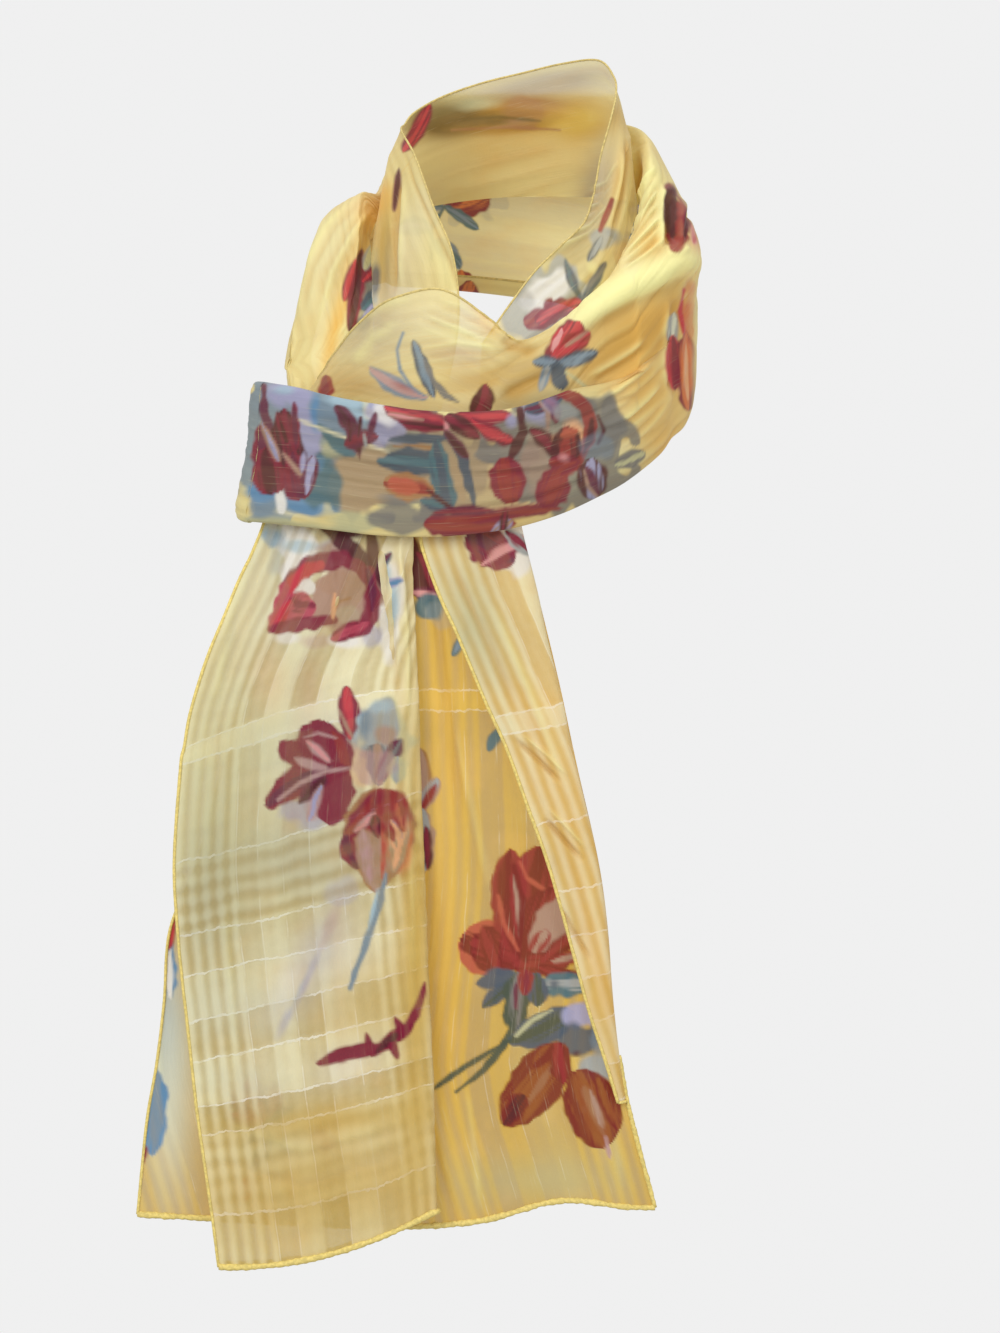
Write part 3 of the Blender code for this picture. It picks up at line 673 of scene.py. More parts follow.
BAND_PRINT = (
    wash(300, 440, 84, 72, "grey blue", 0.9),
    wash(594, 430, 28, 42, "shade", 0.8, tilt=14),
    wash(400, 462, 90, 56, "shade", 0.8),
    wash(480, 470, 60, 50, "tan", 0.75),
    wash(366, 480, 38, 34, "tan", 0.95),
    wash(560, 450, 68, 66, "shade", 0.85),
    wash(300, 528, 70, 9, "sage", 0.9, tilt=6),
    wash(356, 522, 34, 11, "sage", 0.85, tilt=6),
    wash(292, 514, 30, 4, "cream", 0.9, tilt=14),
    wash(399, 516, 34, 20, "shade", 0.85),
    wash(260, 505, 16, 12, "grey blue", 0.9),
    wash(258, 492, 18, 11, "blue", 0.95),
    wash(308, 504, 30, 13, "blue", 0.9, tilt=14),
    petal(282, 514, 279, 486, 5, "white", peak=0.4),
    wash(289, 394, 28, 14, "lavender", 0.95, tilt=10),
    wash(284, 390, 16, 6, "sky", 0.7),
    wash(306, 436, 17, 34, "lavender", 0.9, tilt=-8),
    wash(316, 412, 8, 22, "blue", 0.9),
    wash(344, 412, 28, 24, "grey blue", 0.9),
    wash(350, 402, 30, 8, "sky", 0.85, tilt=8),
    wash(358, 418, 16, 12, "sky", 0.7),
    wash(372, 412, 12, 12, "lavender", 0.8),
    wash(322, 482, 20, 30, "teal", 0.9, tilt=-10),
    wash(318, 466, 9, 10, "blue", 0.5),
    wash(387, 424, 21, 23, "lavender", 0.75),
    wash(386, 414, 16, 12, "white", 0.8, tilt=10),
    wash(332, 448, 16, 10, "sage", 0.7, tilt=30),
    petal(318, 424, 356, 456, 7, "teal", bend=-2, peak=0.6),
    stroke("cream", 1.7, (296, 419), (320, 428), (352, 440), (392, 453)),
    stroke("maroon", 5, (264, 386), (264, 410), (268, 426), (276, 444)),
    wash(282, 404, 12, 7, "lavender", 0.9, tilt=10),
    petal(300, 486, 284, 408, 17, "deep", "crimson", bend=4, peak=0.45),
    petal(288, 444, 277, 411, 5, "crimson", "deep", peak=0.4),
    petal(296, 450, 294, 402, 5, "crimson", "maroon", peak=0.35),
    petal(266, 492, 262, 424, 12, "crimson", "maroon", peak=0.4),
    petal(272, 494, 266, 448, 17, "crimson", "deep", peak=0.4),
    petal(300, 500, 292, 452, 15, "crimson", "maroon", peak=0.4),
    petal(306, 494, 314, 456, 8, "maroon", "lavender"),
    petal(280, 462, 261, 422, 4, "taupe", "lavender", peak=0.35),
    petal(302, 476, 282, 452, 2.6, "taupe", peak=0.4),
    petal(302, 472, 304, 452, 3, "lavender"),
    petal(360, 460, 336, 405, 8, "maroon", "deep", bend=-5, peak=0.6),
    petal(344, 446, 378, 436, 9, "maroon", "crimson", bend=3),
    petal(368, 440, 376, 412, 3.6, "maroon"),
    petal(358, 438, 361, 416, 3, "maroon", "deep"),
    petal(350, 442, 349, 418, 3, "maroon", "deep"),
    stroke("grey", 1.6, (364, 434), (366, 446)),
    petal(384, 406, 450, 426, 12, "crimson", "red", bend=-3, peak=0.55),
    petal(398, 422, 446, 428, 7, "crimson", "deep", peak=0.55),
    petal(388, 414, 424, 420, 2.6, "taupe", "pink", peak=0.3),
    petal(446, 434, 449, 414, 3, "pink"),
    petal(388, 440, 450, 438, 5.5, "dusk"),
    stroke("brown", 2.0, (394, 446), (420, 446), (444, 450)),
    petal(376, 462, 448, 466, 14, "dusk", "teal", bend=3, peak=0.55),
    petal(436, 440, 452, 508, 13, "teal", "dusk", bend=-2, peak=0.55),
    petal(420, 500, 452, 506, 8, "dusk", "teal"),
    petal(384, 482, 434, 492, 13, "brown", "brick", peak=0.45),
    petal(388, 482, 420, 490, 8, "rust", peak=0.4),
    stroke("deep", 2.5, (428, 490), (440, 500), (454, 510)),
    petal(450, 454, 464, 502, 5, "tan"),
    stroke("dusk", 5.5, (446, 434), (460, 452), (468, 478), (474, 504)),
    petal(444, 430, 468, 458, 5.5, "maroon", "deep"),
    petal(512, 414, 446, 420, 10, "crimson", "red"),
    petal(446, 416, 480, 438, 9, "deep", "crimson", peak=0.45),
    petal(470, 418, 514, 442, 8, "crimson", "red", bend=-3, peak=0.6),
    wash(512, 420, 8, 9, "lavender", 0.85),
    wash(536, 414, 18, 12, "lavender", 0.8),
    wash(536, 462, 16, 32, "taupe", 0.5),
    stroke("deep", 5, (520, 410), (523, 432), (514, 450), (508, 464)),
    petal(512, 504, 503, 457, 18, "crimson", "brick"),
    petal(524, 410, 566, 392, 8, "dusk", "maroon", bend=-4),
    petal(546, 398, 556, 424, 7, "maroon", "crimson", bend=4),
    stroke("taupe", 2.4, (540, 402), (548, 412), (548, 428)),
    petal(530, 428, 562, 462, 9, "deep", "crimson", bend=3),
    wash(552, 406, 10, 10, "lavender", 0.4),
    wash(566, 412, 14, 12, "grey", 0.7),
    wash(573, 434, 19, 15, "peach", 0.95, tilt=-14),
    petal(568, 468, 566, 426, 17, "deep", "brick", peak=0.45),
    petal(560, 436, 578, 430, 5, "rust"),
    stroke("brick", 6.5, (558, 394), (574, 396), (586, 408), (592, 426), (588, 442), (580, 464)),
    stroke("deep", 3.5, (592, 420), (591, 436), (584, 452)),
    petal(548, 462, 582, 466, 9, "crimson", "brick"),
    wash(565, 458, 8, 6, "pink", 0.75),
    petal(545, 509, 562, 468, 17, "crimson", "brick"),
    petal(560, 476, 578, 464, 5, "brick", "crimson"),
    stroke("deep", 2.2, (598, 416), (604, 430), (598, 444)),
    wash(596, 448, 18, 16, "grey blue", 0.4),
    petal(592, 500, 592, 458, 16, "deep", "lavender"),
    petal(598, 496, 586, 466, 5, "maroon"),
    stroke("taupe", 2.4, (584, 470), (588, 486), (598, 498)),
    petal(615, 466, 645, 452, 8, "shade", "sage"),
    petal(424, 525, 516, 523, 14, "crimson", "brick", bend=-2, peak=0.45),
    petal(468, 521, 562, 508, 7, "crimson", "brick", bend=2, peak=0.4),
    petal(432, 514, 496, 511, 5, "maroon", "crimson", bend=2),
    petal(490, 540, 512, 520, 7, "lavender", "taupe"),
    petal(502, 536, 506, 508, 4, "deep", "crimson"),
)

# Painted shade, gold and amber, on the darker lower face below the pale ridge on the viewer's right,
# where the front runs on into the turn.
SIDE_PAINTED_SHADE = (
    tint(654, 326, 56, 24, "gold", 1.1, tilt=-30),
    tint(640, 340, 60, 30, "amber", 0.6, tilt=-24),
    tint(650, 390, 46, 46, "gold", 0.8),
    tint(600, 366, 40, 14, "amber", 0.4, tilt=-20),
)

FLAP_PRINT_AND_LIGHT = (
    tint(368, 330, 54, 40, "sheer", 0.9, tilt=-30),
    # The tints from here on are painted light: amber, brown and olive are painted shade in the crease
    # where the flap tucks under the band; cream and lemon are painted highlight on the folds and along
    # the pale ridge; gold and taupe are painted shade between the folds and on the lower face.
    tint(345, 384, 44, 24, "amber", 0.5),
    tint(388, 390, 60, 16, "brown", 0.4, tilt=8),
    tint(440, 322, 40, 18, "cream", 0.6, tilt=10),
    tint(466, 336, 26, 8, "lemon", 0.6, tilt=20),
    tint(488, 320, 22, 12, "gold", 0.8, tilt=45),
    tint(454, 354, 40, 11, "taupe", 0.5, tilt=4),
    tint(470, 380, 44, 18, "amber", 0.5),
    tint(530, 368, 54, 22, "amber", 0.55, tilt=-14),
    tint(520, 400, 60, 12, "olive", 0.4, tilt=-14),
    tint(640, 290, 78, 15, "lemon", 0.85, tilt=-24),
    tint(590, 312, 34, 10, "cream", 0.6, tilt=-24),
    *SIDE_PAINTED_SHADE,
    tint(660, 440, 26, 24, "gold", 0.6),
    stroke("grey blue", 2.2, (403, 333), (397, 350), (400, 370), (412, 388), (424, 397)),
    petal(434, 398, 413, 340, 7, "dusk", "grey blue"),
    stroke("shade", 3.4, (424, 360), (434, 382), (446, 396), (458, 402)),
    petal(428, 398, 369, 367, 9, "grey blue", "mauve", bend=5),
    wash(402, 386, 18, 4, "brick", 0.55, tilt=24),
    wash(392, 377, 12, 4, "mauve", 0.5, tilt=30),
    petal(326, 396, 326, 375, 8, "brick", "crimson", peak=0.4),
    petal(474, 418, 486, 383, 11, "deep", "crimson", bend=-3),
    petal(548, 362, 580, 321, 16, "crimson", "red", bend=-3, peak=0.55),
    petal(556, 356, 590, 332, 10, "brick", "red", peak=0.55),
    petal(552, 352, 562, 328, 5, "red", "pink"),
    stroke("taupe", 2.2, (566, 346), (578, 338), (588, 331)),
    petal(560, 362, 532, 362, 6, "dusk", "grey blue"),
    petal(556, 366, 598, 352, 8, "dusk", "grey blue", peak=0.45),
    petal(556, 362, 562, 390, 9, "dusk"),
    petal(548, 366, 540, 392, 5, "grey blue", "grey", peak=0.4),
    stroke("sage", 2.4, (566, 372), (582, 384), (596, 398)),
)

COLLAR_PRINT_AND_SHADE = (
    tint(545, 84, 84, 18, "sheer", 1.2, tilt=-8),
    # The amber, olive and brown tints, washes and strokes from here to the last olive wash are painted
    # shade inside the stand behind the neck.
    tint(585, 116, 26, 20, "amber", 0.75),
    tint(500, 150, 90, 26, "amber", 0.45),
    tint(520, 120, 110, 17, "amber", 1.5, tilt=-2),
    tint(446, 120, 34, 18, "olive", 1.7, tilt=-6),
    tint(500, 122, 60, 8, "olive", 1.0, tilt=-2),
    tint(530, 105, 44, 9, "brown", 1.5, tilt=2),
    tint(474, 102, 26, 6, "sage", 0.9, tilt=-8),
    tint(470, 112, 70, 12, "olive", 0.7, tilt=-4),
    tint(578, 122, 34, 18, "straw", 1.2),
    wash(458, 122, 46, 10, "olive", 0.6, tilt=-6),
    wash(476, 106, 30, 6, "sage", 0.55, tilt=-8),
    wash(524, 112, 26, 16, "brown", 0.55, tilt=-8),
    stroke("olive", 1.8, (420, 130), (452, 120), (500, 117), (540, 121)),
    stroke("brown", 1.8, (452, 130), (510, 127), (560, 130)),
    wash(440, 124, 30, 7, "olive", 0.7, tilt=-10),
    tint(384, 200, 12, 22, "gold", 1.2),
    tint(386, 252, 9, 48, "straw", 1.4, tilt=2),
    tint(388, 262, 4, 34, "olive", 0.5, tilt=2),
    wash(375, 282, 6, 34, "dusk", 0.85, tilt=3),
    wash(376, 300, 5, 8, "sky", 0.6, tilt=3),
    petal(403, 152, 430, 104, 8, "crimson", "red", bend=-2),
    # Painted shade: a dark band along the left lapel's far edge, laid as a narrow maroon petal.
    petal(394, 212, 399, 168, 4, "maroon", "deep"),
    tint(416, 225, 22, 60, "cream", 0.6, tilt=20),
    tint(446, 272, 12, 50, "lemon", 0.4, tilt=-26),
    tint(404, 290, 20, 40, "sheer", 0.5),
    tint(596, 190, 20, 60, "sheer", 1.0, tilt=16),
    tint(618, 190, 8, 60, "gold", 0.5, tilt=8),
    tint(570, 244, 26, 44, "olive", 0.45, tilt=40),
    wash(543, 302, 46, 34, "grey", 0.85, tilt=-34),
    wash(545, 296, 32, 18, "white", 0.8, tilt=-34),
    wash(525, 300, 10, 16, "shade", 0.4, tilt=-34),
    wash(604, 239, 15, 13, "grey", 0.85),
    petal(524, 324, 562, 312, 11, "crimson", "brick", peak=0.45),
    petal(536, 322, 586, 300, 10, "crimson", "red", bend=2, peak=0.4),
    petal(544, 308, 552, 298, 4, "crimson"),
    petal(582, 300, 565, 258, 4.5, "dusk", "teal", bend=2),
    petal(582, 302, 606, 262, 5, "dusk", "shade"),
    petal(588, 262, 602, 236, 4.5, "dusk", "grey"),
    wash(592, 268, 7, 9, "lemon", 0.5, tilt=30),
    stroke("brick", 3.5, (612, 200), (607, 214), (600, 230)),
)

LOOP_PRINT_AND_LIGHT = (
    tint(378, 203, 26, 12, "peach", 0.5, tilt=-10),
    tint(330, 250, 20, 70, "cream", 0.4, tilt=24),
    # These three tints are painted shade: amber and gold in the troughs and hollows of the left loop.
    tint(384, 240, 11, 60, "amber", 0.9, tilt=4),
    tint(338, 320, 9, 70, "gold", 1.0, tilt=14),
    tint(372, 222, 14, 16, "gold", 0.9),
    wash(369, 288, 18, 42, "shade", 0.9, tilt=10),
    petal(350, 332, 362, 248, 8, "crimson", "deep", peak=0.45),
    petal(344, 302, 356, 258, 6, "crimson", "red"),
    petal(362, 282, 384, 262, 6, "crimson", "red"),
    petal(362, 310, 386, 288, 8, "dusk", "teal"),
    petal(364, 270, 374, 244, 6, "grey", "sage"),
    stroke("lavender", 2.0, (362, 318), (372, 306), (382, 310)),
    # The tints from here to the peach one are painted light: lemon is painted highlight on the pleated
    # upper face and along the pale ridge, and amber and gold are painted shade in the pleats' troughs,
    # under the ridge and on the lower face.
    tint(640, 200, 26, 60, "lemon", 0.6, tilt=20),
    tint(638, 134, 12, 12, "amber", 1.0),
    tint(634, 190, 6, 60, "gold", 0.8, tilt=12),
    tint(650, 242, 16, 20, "gold", 0.7, tilt=20),
    tint(612, 250, 16, 12, "gold", 0.5, tilt=-40),
    tint(640, 290, 78, 15, "lemon", 0.85, tilt=-24),
    *SIDE_PAINTED_SHADE,
    tint(690, 270, 18, 12, "gold", 0.7, tilt=-30),
    tint(660, 440, 26, 24, "gold", 0.6),
    tint(700, 240, 12, 20, "peach", 0.9),
    petal(694, 244, 704, 206, 8, "pink", "red"),
    stroke("crimson", 7, (668, 186), (684, 196), (700, 210)),
    stroke("deep", 9, (672, 192), (671, 238)),
    stroke("brick", 9, (682, 200), (681, 236)),
    stroke("crimson", 6, (690, 206), (687, 230)),
    stroke("brick", 6, (668, 236), (676, 246), (686, 238)),
    stroke("deep", 4, (673, 200), (672, 236)),
    stroke("deep", 2.4, (688, 210), (685, 236)),
    wash(690, 320, 11, 36, "orange", 0.9),
    wash(693, 302, 5, 20, "peach", 0.8),
    petal(672, 348, 674, 312, 6, "grey", "mist"),
    stroke("red", 2.6, (684, 290), (680, 312), (684, 332), (691, 348)),
    wash(681, 370, 15, 34, "peach", 0.9),
    petal(675, 390, 673, 336, 9, "red", "crimson", peak=0.45),
    petal(688, 410, 686, 332, 12, "crimson", "orange"),
    petal(688, 400, 686, 344, 5, "orange", "peach"),
)

FRONT_END_PRINT = (
    tint(215, 820, 60, 190, "sage", 0.6),
    tint(206, 890, 40, 110, "shade", 0.3),
    tint(300, 860, 110, 70, "sage", 0.5),
    tint(300, 860, 60, 50, "grey", 0.3),
    tint(290, 590, 90, 90, "mist", 0.65),
    tint(300, 750, 70, 80, "mist", 0.5),
    tint(250, 1010, 90, 34, "mist", 0.6, tilt=-4),
    tint(240, 1076, 70, 24, "mist", 0.5, tilt=-4),
    tint(300, 948, 60, 24, "mist", 0.4, tilt=-6),
    tint(372, 1000, 50, 60, "straw", 0.5),
    tint(320, 1190, 170, 80, "straw", 0.75, tilt=-8),
    tint(250, 700, 60, 120, "sage", 0.35),
    tint(330, 1120, 140, 18, "straw", 0.7, tilt=-6),
    tint(200, 640, 50, 110, "amber", 0.2, tilt=20),
    tint(416, 960, 22, 330, "straw", 0.95),
    tint(270, 680, 22, 40, "peach", 0.3),
    tint(310, 690, 14, 40, "rust", 0.22),
    wash(300, 552, 22, 34, "white", 1.0),
    wash(332, 548, 18, 12, "lavender", 0.6),
    wash(302, 546, 20, 8, "sky", 0.7),
    wash(272, 536, 12, 12, "blue", 0.7),
    wash(276, 560, 10, 16, "grey", 0.5, tilt=20),
    wash(338, 552, 24, 14, "taupe", 0.85),
    wash(388, 606, 16, 54, "white", 0.8),
    wash(372, 634, 12, 16, "lavender", 0.6),
    wash(286, 638, 18, 8, "white", 0.8),
    wash(316, 642, 20, 10, "mauve", 0.45),
    wash(345, 642, 20, 10, "white", 0.95),
    wash(393, 604, 7, 26, "sky", 0.9),
    wash(384, 574, 8, 16, "sky", 0.8),
    petal(376, 586, 404, 580, 5, "lavender", "blue"),
    petal(374, 572, 392, 552, 5, "dusk", "maroon"),
    wash(348, 532, 26, 7, "deep", 0.95, tilt=4),
    petal(380, 588, 318, 522, 9, "deep", bend=-6),
    petal(378, 590, 370, 522, 7, "deep", peak=0.45),
    wash(346, 598, 36, 34, "taupe", 0.97),
    wash(340, 584, 22, 14, "brown", 0.25),
    wash(348, 616, 14, 11, "sheer", 0.6),
    stroke("crimson", 9, (282, 616), (284, 600), (292, 582), (306, 568), (322, 561), (344, 559),
            (360, 567), (371, 586)),
    stroke("red", 7, (285, 600), (294, 582), (306, 570), (320, 565)),
    stroke("crimson", 9, (352, 634), (364, 628), (372, 612), (373, 590), (370, 570)),
    stroke("maroon", 4, (372, 610), (373, 590), (368, 570)),
    petal(292, 594, 315, 584, 8, "white", peak=0.7),
    petal(278, 606, 316, 607, 15, "rose", "crimson", peak=0.55),
    stroke("rose", 8, (284, 588), (280, 606), (275, 628)),
    petal(270, 632, 292, 600, 9, "rose", "red", peak=0.4),
    stroke("crimson", 7, (270, 630), (300, 625), (334, 620)),
    petal(330, 640, 370, 622, 8, "crimson", "rose", peak=0.55),
    stroke("brown", 2, (334, 612), (338, 602), (350, 598)),
    stroke("peach", 2.2, (335, 594), (333, 618)),
    wash(392, 738, 22, 40, "sage", 0.7),
    wash(380, 730, 24, 32, "grey", 0.95),
    wash(364, 726, 9, 24, "grey blue", 0.9),
    wash(378, 706, 16, 8, "sky", 0.5),
    wash(348, 742, 12, 16, "grey", 0.8),
    wash(386, 736, 15, 12, "taupe", 0.8, tilt=-20),
    petal(376, 744, 381, 786, 12, "shade", "taupe", peak=0.4),
    petal(378, 780, 402, 738, 9, "maroon", "shade"),
    petal(396, 784, 398, 756, 9, "sage", "grey"),
    wash(358, 768, 12, 24, "peach", 0.45, tilt=-12),
    wash(378, 768, 22, 20, "mauve", 0.6, tilt=-10),
    wash(355, 720, 8, 20, "sky", 0.8),
    petal(350, 740, 347, 686, 10, "crimson", "red", peak=0.55),
    stroke("taupe", 2.4, (340, 712), (346, 726), (352, 736)),
    wash(306, 812, 28, 16, "lavender", 0.6, tilt=8),
    wash(318, 806, 20, 14, "mauve", 0.6, tilt=8),
    petal(322, 770, 316, 720, 23, "crimson", peak=0.6),
    petal(346, 776, 332, 730, 11, "crimson", "brick", bend=-2),
    petal(318, 770, 279, 742, 12, "crimson", peak=0.6),
    petal(350, 768, 266, 806, 16, "crimson", "maroon", bend=-9, peak=0.55),
    petal(342, 766, 330, 826, 20, "crimson", bend=-2, peak=0.45),
    petal(326, 776, 298, 804, 8, "maroon", "deep", peak=0.45),
    petal(306, 740, 330, 762, 4.5, "mauve", "pink"),
    petal(294, 758, 328, 768, 5, "mauve", bend=-2),
    stroke("mauve", 2.2, (350, 768), (326, 771), (300, 783), (278, 800)),
    stroke("mauve", 1.5, (304, 738), (318, 733), (336, 738)),
    petal(322, 784, 308, 822, 5, "mauve", "lavender"),
    petal(376, 893, 382, 788, 36, "brown", "taupe", peak=0.6),
    wash(400, 842, 14, 32, "orange", 0.6),
    petal(394, 872, 405, 812, 9, "tan", "peach"),
    wash(382, 809, 31, 22, "brick", 0.95),
    wash(372, 800, 18, 10, "crimson", 0.6, tilt=-20),
    petal(344, 838, 374, 796, 10, "crimson", "brick", bend=-3),
    petal(358, 870, 345, 834, 9, "crimson", "maroon", bend=2),
    petal(370, 884, 362, 828, 9, "taupe", "mauve"),
    petal(354, 832, 376, 812, 4, "mauve", "pink"),
    petal(402, 838, 390, 820, 4, "mauve", "peach"),
    petal(378, 838, 374, 814, 6, "deep", "crimson"),
    stroke("rust", 3.2, (383, 818), (384, 850), (382, 878)),
    petal(398, 850, 390, 822, 6, "peach", "tan"),
    petal(394, 842, 383, 816, 5, "brick"),
    petal(404, 832, 396, 802, 5, "brick", "rust"),
    stroke("grey blue", 4.2, (386, 874), (380, 900), (367, 940), (350, 988)),
    stroke("sky", 2.2, (378, 890), (368, 930)),
    tint(320, 950, 22, 64, "lavender", 0.4, tilt=24),
    wash(342, 890, 18, 16, "lavender", 0.3),
    wash(329, 928, 7, 30, "mauve", 0.35, tilt=22),
    wash(306, 982, 5, 40, "lavender", 0.6, tilt=24),
    wash(299, 992, 2.2, 36, "sky", 0.5, tilt=24),
    wash(284, 1024, 6, 18, "lavender", 0.45, tilt=24),
    tint(288, 986, 16, 50, "white", 0.4, tilt=24),
    tint(350, 956, 26, 34, "white", 0.3, tilt=30),
    tint(346, 1066, 44, 20, "white", 0.4, tilt=-20),
    petal(316, 1064, 392, 1046, 7.5, "crimson", bend=3, peak=0.45),
    petal(372, 1056, 414, 1024, 6, "crimson", "deep", bend=2),
    petal(398, 1042, 425, 982, 5, "crimson", bend=-4, peak=0.4),
    petal(372, 1056, 366, 1032, 4.5, "crimson", peak=0.3),
    petal(392, 1042, 398, 1060, 4.5, "crimson", peak=0.3),
    petal(404, 1034, 394, 1016, 4.5, "crimson", peak=0.3),
)

BACK_END_PRINT = (
    tint(440, 900, 24, 300, "gold", 0.5),
    tint(170, 1080, 30, 130, "mist", 0.9),
    tint(164, 1010, 24, 70, "sky", 0.5),
    tint(540, 1180, 90, 30, "sage", 0.5),
    petal(426, 606, 412, 536, 10, "deep", bend=3),
    petal(436, 596, 416, 552, 12, "deep", "crimson", bend=-3, peak=0.45),
    petal(412, 592, 440, 596, 7, "maroon", "pink"),
    wash(427, 608, 17, 15, "teal", 0.95),
    wash(440, 616, 16, 14, "grey", 0.3),
    petal(452, 656, 470, 626, 5.5, "teal", "grey blue"),
    petal(488, 752, 500, 728, 6, "teal"),
    petal(414, 816, 420, 748, 9, "brown", "taupe", bend=-6),
    petal(412, 816, 438, 778, 10, "taupe", "grey"),
    petal(420, 812, 436, 784, 4, "brick"),
    petal(424, 872, 422, 808, 10, "taupe", "grey", bend=-2),
    petal(428, 870, 426, 826, 5, "deep", "crimson"),
    petal(170, 1000, 168, 936, 8, "blue", "white"),
    petal(168, 950, 173, 918, 6, "crimson", "red"),
    petal(152, 1156, 158, 1070, 12, "blue", "grey blue"),
    petal(140, 1168, 146, 1146, 4, "crimson"),
    petal(522, 964, 460, 938, 28, "rust", "wine", peak=0.6),
    petal(528, 962, 470, 942, 23, "wine", "brick", peak=0.55),
    petal(500, 972, 482, 926, 10, "wine", "brick"),
    petal(530, 912, 542, 846, 22, "brick", "wine", peak=0.6),
    petal(524, 964, 510, 850, 20, "brick", "wine", bend=6, peak=0.55),
    stroke("rust", 3, (498, 896), (504, 924), (518, 950)),
    petal(521, 940, 514, 874, 9, "brick", "taupe", bend=-2),
    stroke("rust", 2.4, (520, 862), (527, 878), (546, 891), (560, 884)),
    petal(528, 960, 556, 888, 24, "wine", "brick", bend=-2, peak=0.55),
    petal(534, 954, 570, 898, 20, "taupe", bend=-2, peak=0.55),
    petal(532, 956, 548, 930, 8, "brick", "taupe"),
    petal(512, 966, 570, 962, 13, "wine", "brick"),
    petal(536, 966, 592, 982, 9, "wine", "brick", bend=-3, peak=0.45),
    petal(540, 962, 586, 926, 8, "wine", "brick"),
    petal(550, 962, 590, 954, 6, "brick", "taupe", peak=0.55),
    stroke("wine", 3.6, (526, 960), (521, 930), (523, 900), (514, 866)),
    petal(536, 984, 592, 986, 12, "teal", "grey"),
    wash(554, 984, 7, 6, "dusk", 0.8),
    petal(516, 972, 476, 984, 9, "dusk"),
    petal(514, 982, 482, 1008, 8, "dusk", "leaf"),
    petal(520, 972, 514, 1032, 14, "leaf", "shade", peak=0.45),
    petal(536, 972, 538, 1008, 11, "dusk", "leaf"),
    petal(526, 970, 524, 996, 8, "brick", "crimson", peak=0.4),
    stroke("maroon", 2.2, (516, 984), (516, 1010)),
    stroke("leaf", 4, (516, 1012), (512, 1030), (502, 1048), (484, 1070), (456, 1092)),
    stroke("leaf", 3.2, (506, 1042), (476, 1060), (446, 1080), (432, 1090)),
    petal(508, 1042, 572, 1012, 17, "dusk", "leaf", bend=-3, peak=0.55),
    stroke("sage", 2.4, (516, 1036), (532, 1020), (552, 1010)),
    wash(578, 1016, 20, 16, "lavender", 0.9),
    wash(576, 1040, 24, 20, "dusk", 0.9),
    wash(600, 1040, 10, 24, "grey blue", 0.7),
    wash(594, 1068, 20, 16, "grey", 0.95),
    wash(576, 1054, 7, 5, "deep", 0.9, tilt=-20),
    petal(564, 1044, 504, 1124, 27, "wine", "umber", bend=2),
    petal(552, 1064, 526, 1108, 7, "umber", "sand"),
    petal(530, 1070, 560, 1046, 9, "umber", "wine", peak=0.6),
    petal(556, 1042, 564, 1084, 11, "wine", "brick", peak=0.45),
    petal(524, 1094, 503, 1126, 11, "wine", "deep", peak=0.45),
    petal(576, 1070, 606, 1148, 28, "wine", "umber", bend=2),
    petal(584, 1084, 606, 1138, 12, "umber", "sand"),
    petal(590, 1090, 604, 1130, 5, "sand", "taupe"),
    petal(598, 1076, 620, 1130, 10, "wine", "umber"),
    stroke("mauve", 2.4, (606, 1138), (610, 1158)),
)

TURNOVER_PRINT = (
    tint(560, 800, 30, 120, "gold", 0.3, tilt=-14),
    tint(600, 1000, 20, 120, "gold", 0.6, tilt=-8),
    wash(512, 548, 24, 32, "white", 0.8),
    petal(466, 534, 514, 562, 20, "crimson", "maroon"),
    petal(480, 566, 526, 536, 10, "crimson", "pink"),
    petal(505, 530, 532, 554, 8, "grey", "crimson"),
    tint(470, 620, 40, 80, "sage", 0.7, tilt=-16),
)

# A spray of the same flowers for the sides that are not seen from in front, about its own middle.
SPRAY_PRINT = (
    wash(0, 0, 60, 50, "grey", 0.35),
    petal(4, 34, -40, -12, 20, "crimson", "orange", bend=6),
    petal(4, 36, -14, -46, 24, "crimson", "red", bend=-6),
    petal(6, 36, 20, -44, 24, "crimson", "peach", bend=4),
    petal(8, 34, 44, -12, 18, "crimson", "red", bend=6),
    petal(4, 30, 4, -20, 10, "pink", "white"),
    petal(4, 36, -46, 44, 8, "teal", "grey blue"),
    petal(6, 38, 54, 48, 9, "grey blue", "teal"),
    stroke("teal", 3, (4, 36), (10, 70), (-6, 110)),
    petal(10, 70, 60, 96, 13, "teal", "lavender", bend=4),
    petal(4, 84, -44, 104, 12, "grey blue", "teal", bend=-4),
    petal(60, 96, 96, 132, 15, "orange", "peach"),
    petal(-44, 104, -70, 150, 15, "crimson", "orange"),
)


PETAL_COVER = 0.97
STROKE_COVER = 0.94


def ragged_edge(place, size, seed):
    """How far an edge strays, from -0.5 to 0.5, with bumps `size` pixels wide."""
    return noise(place[..., 0] / size, place[..., 1] / size, seed) - 0.5


def turned_by(rel, tilt):
    """The parts of `rel` along and across an axis turned by `tilt` degrees."""
    angle = math.radians(tilt)
    a = rel[..., 0] * math.cos(angle) + rel[..., 1] * math.sin(angle)
    b = rel[..., 1] * math.cos(angle) - rel[..., 0] * math.sin(angle)
    return a, b


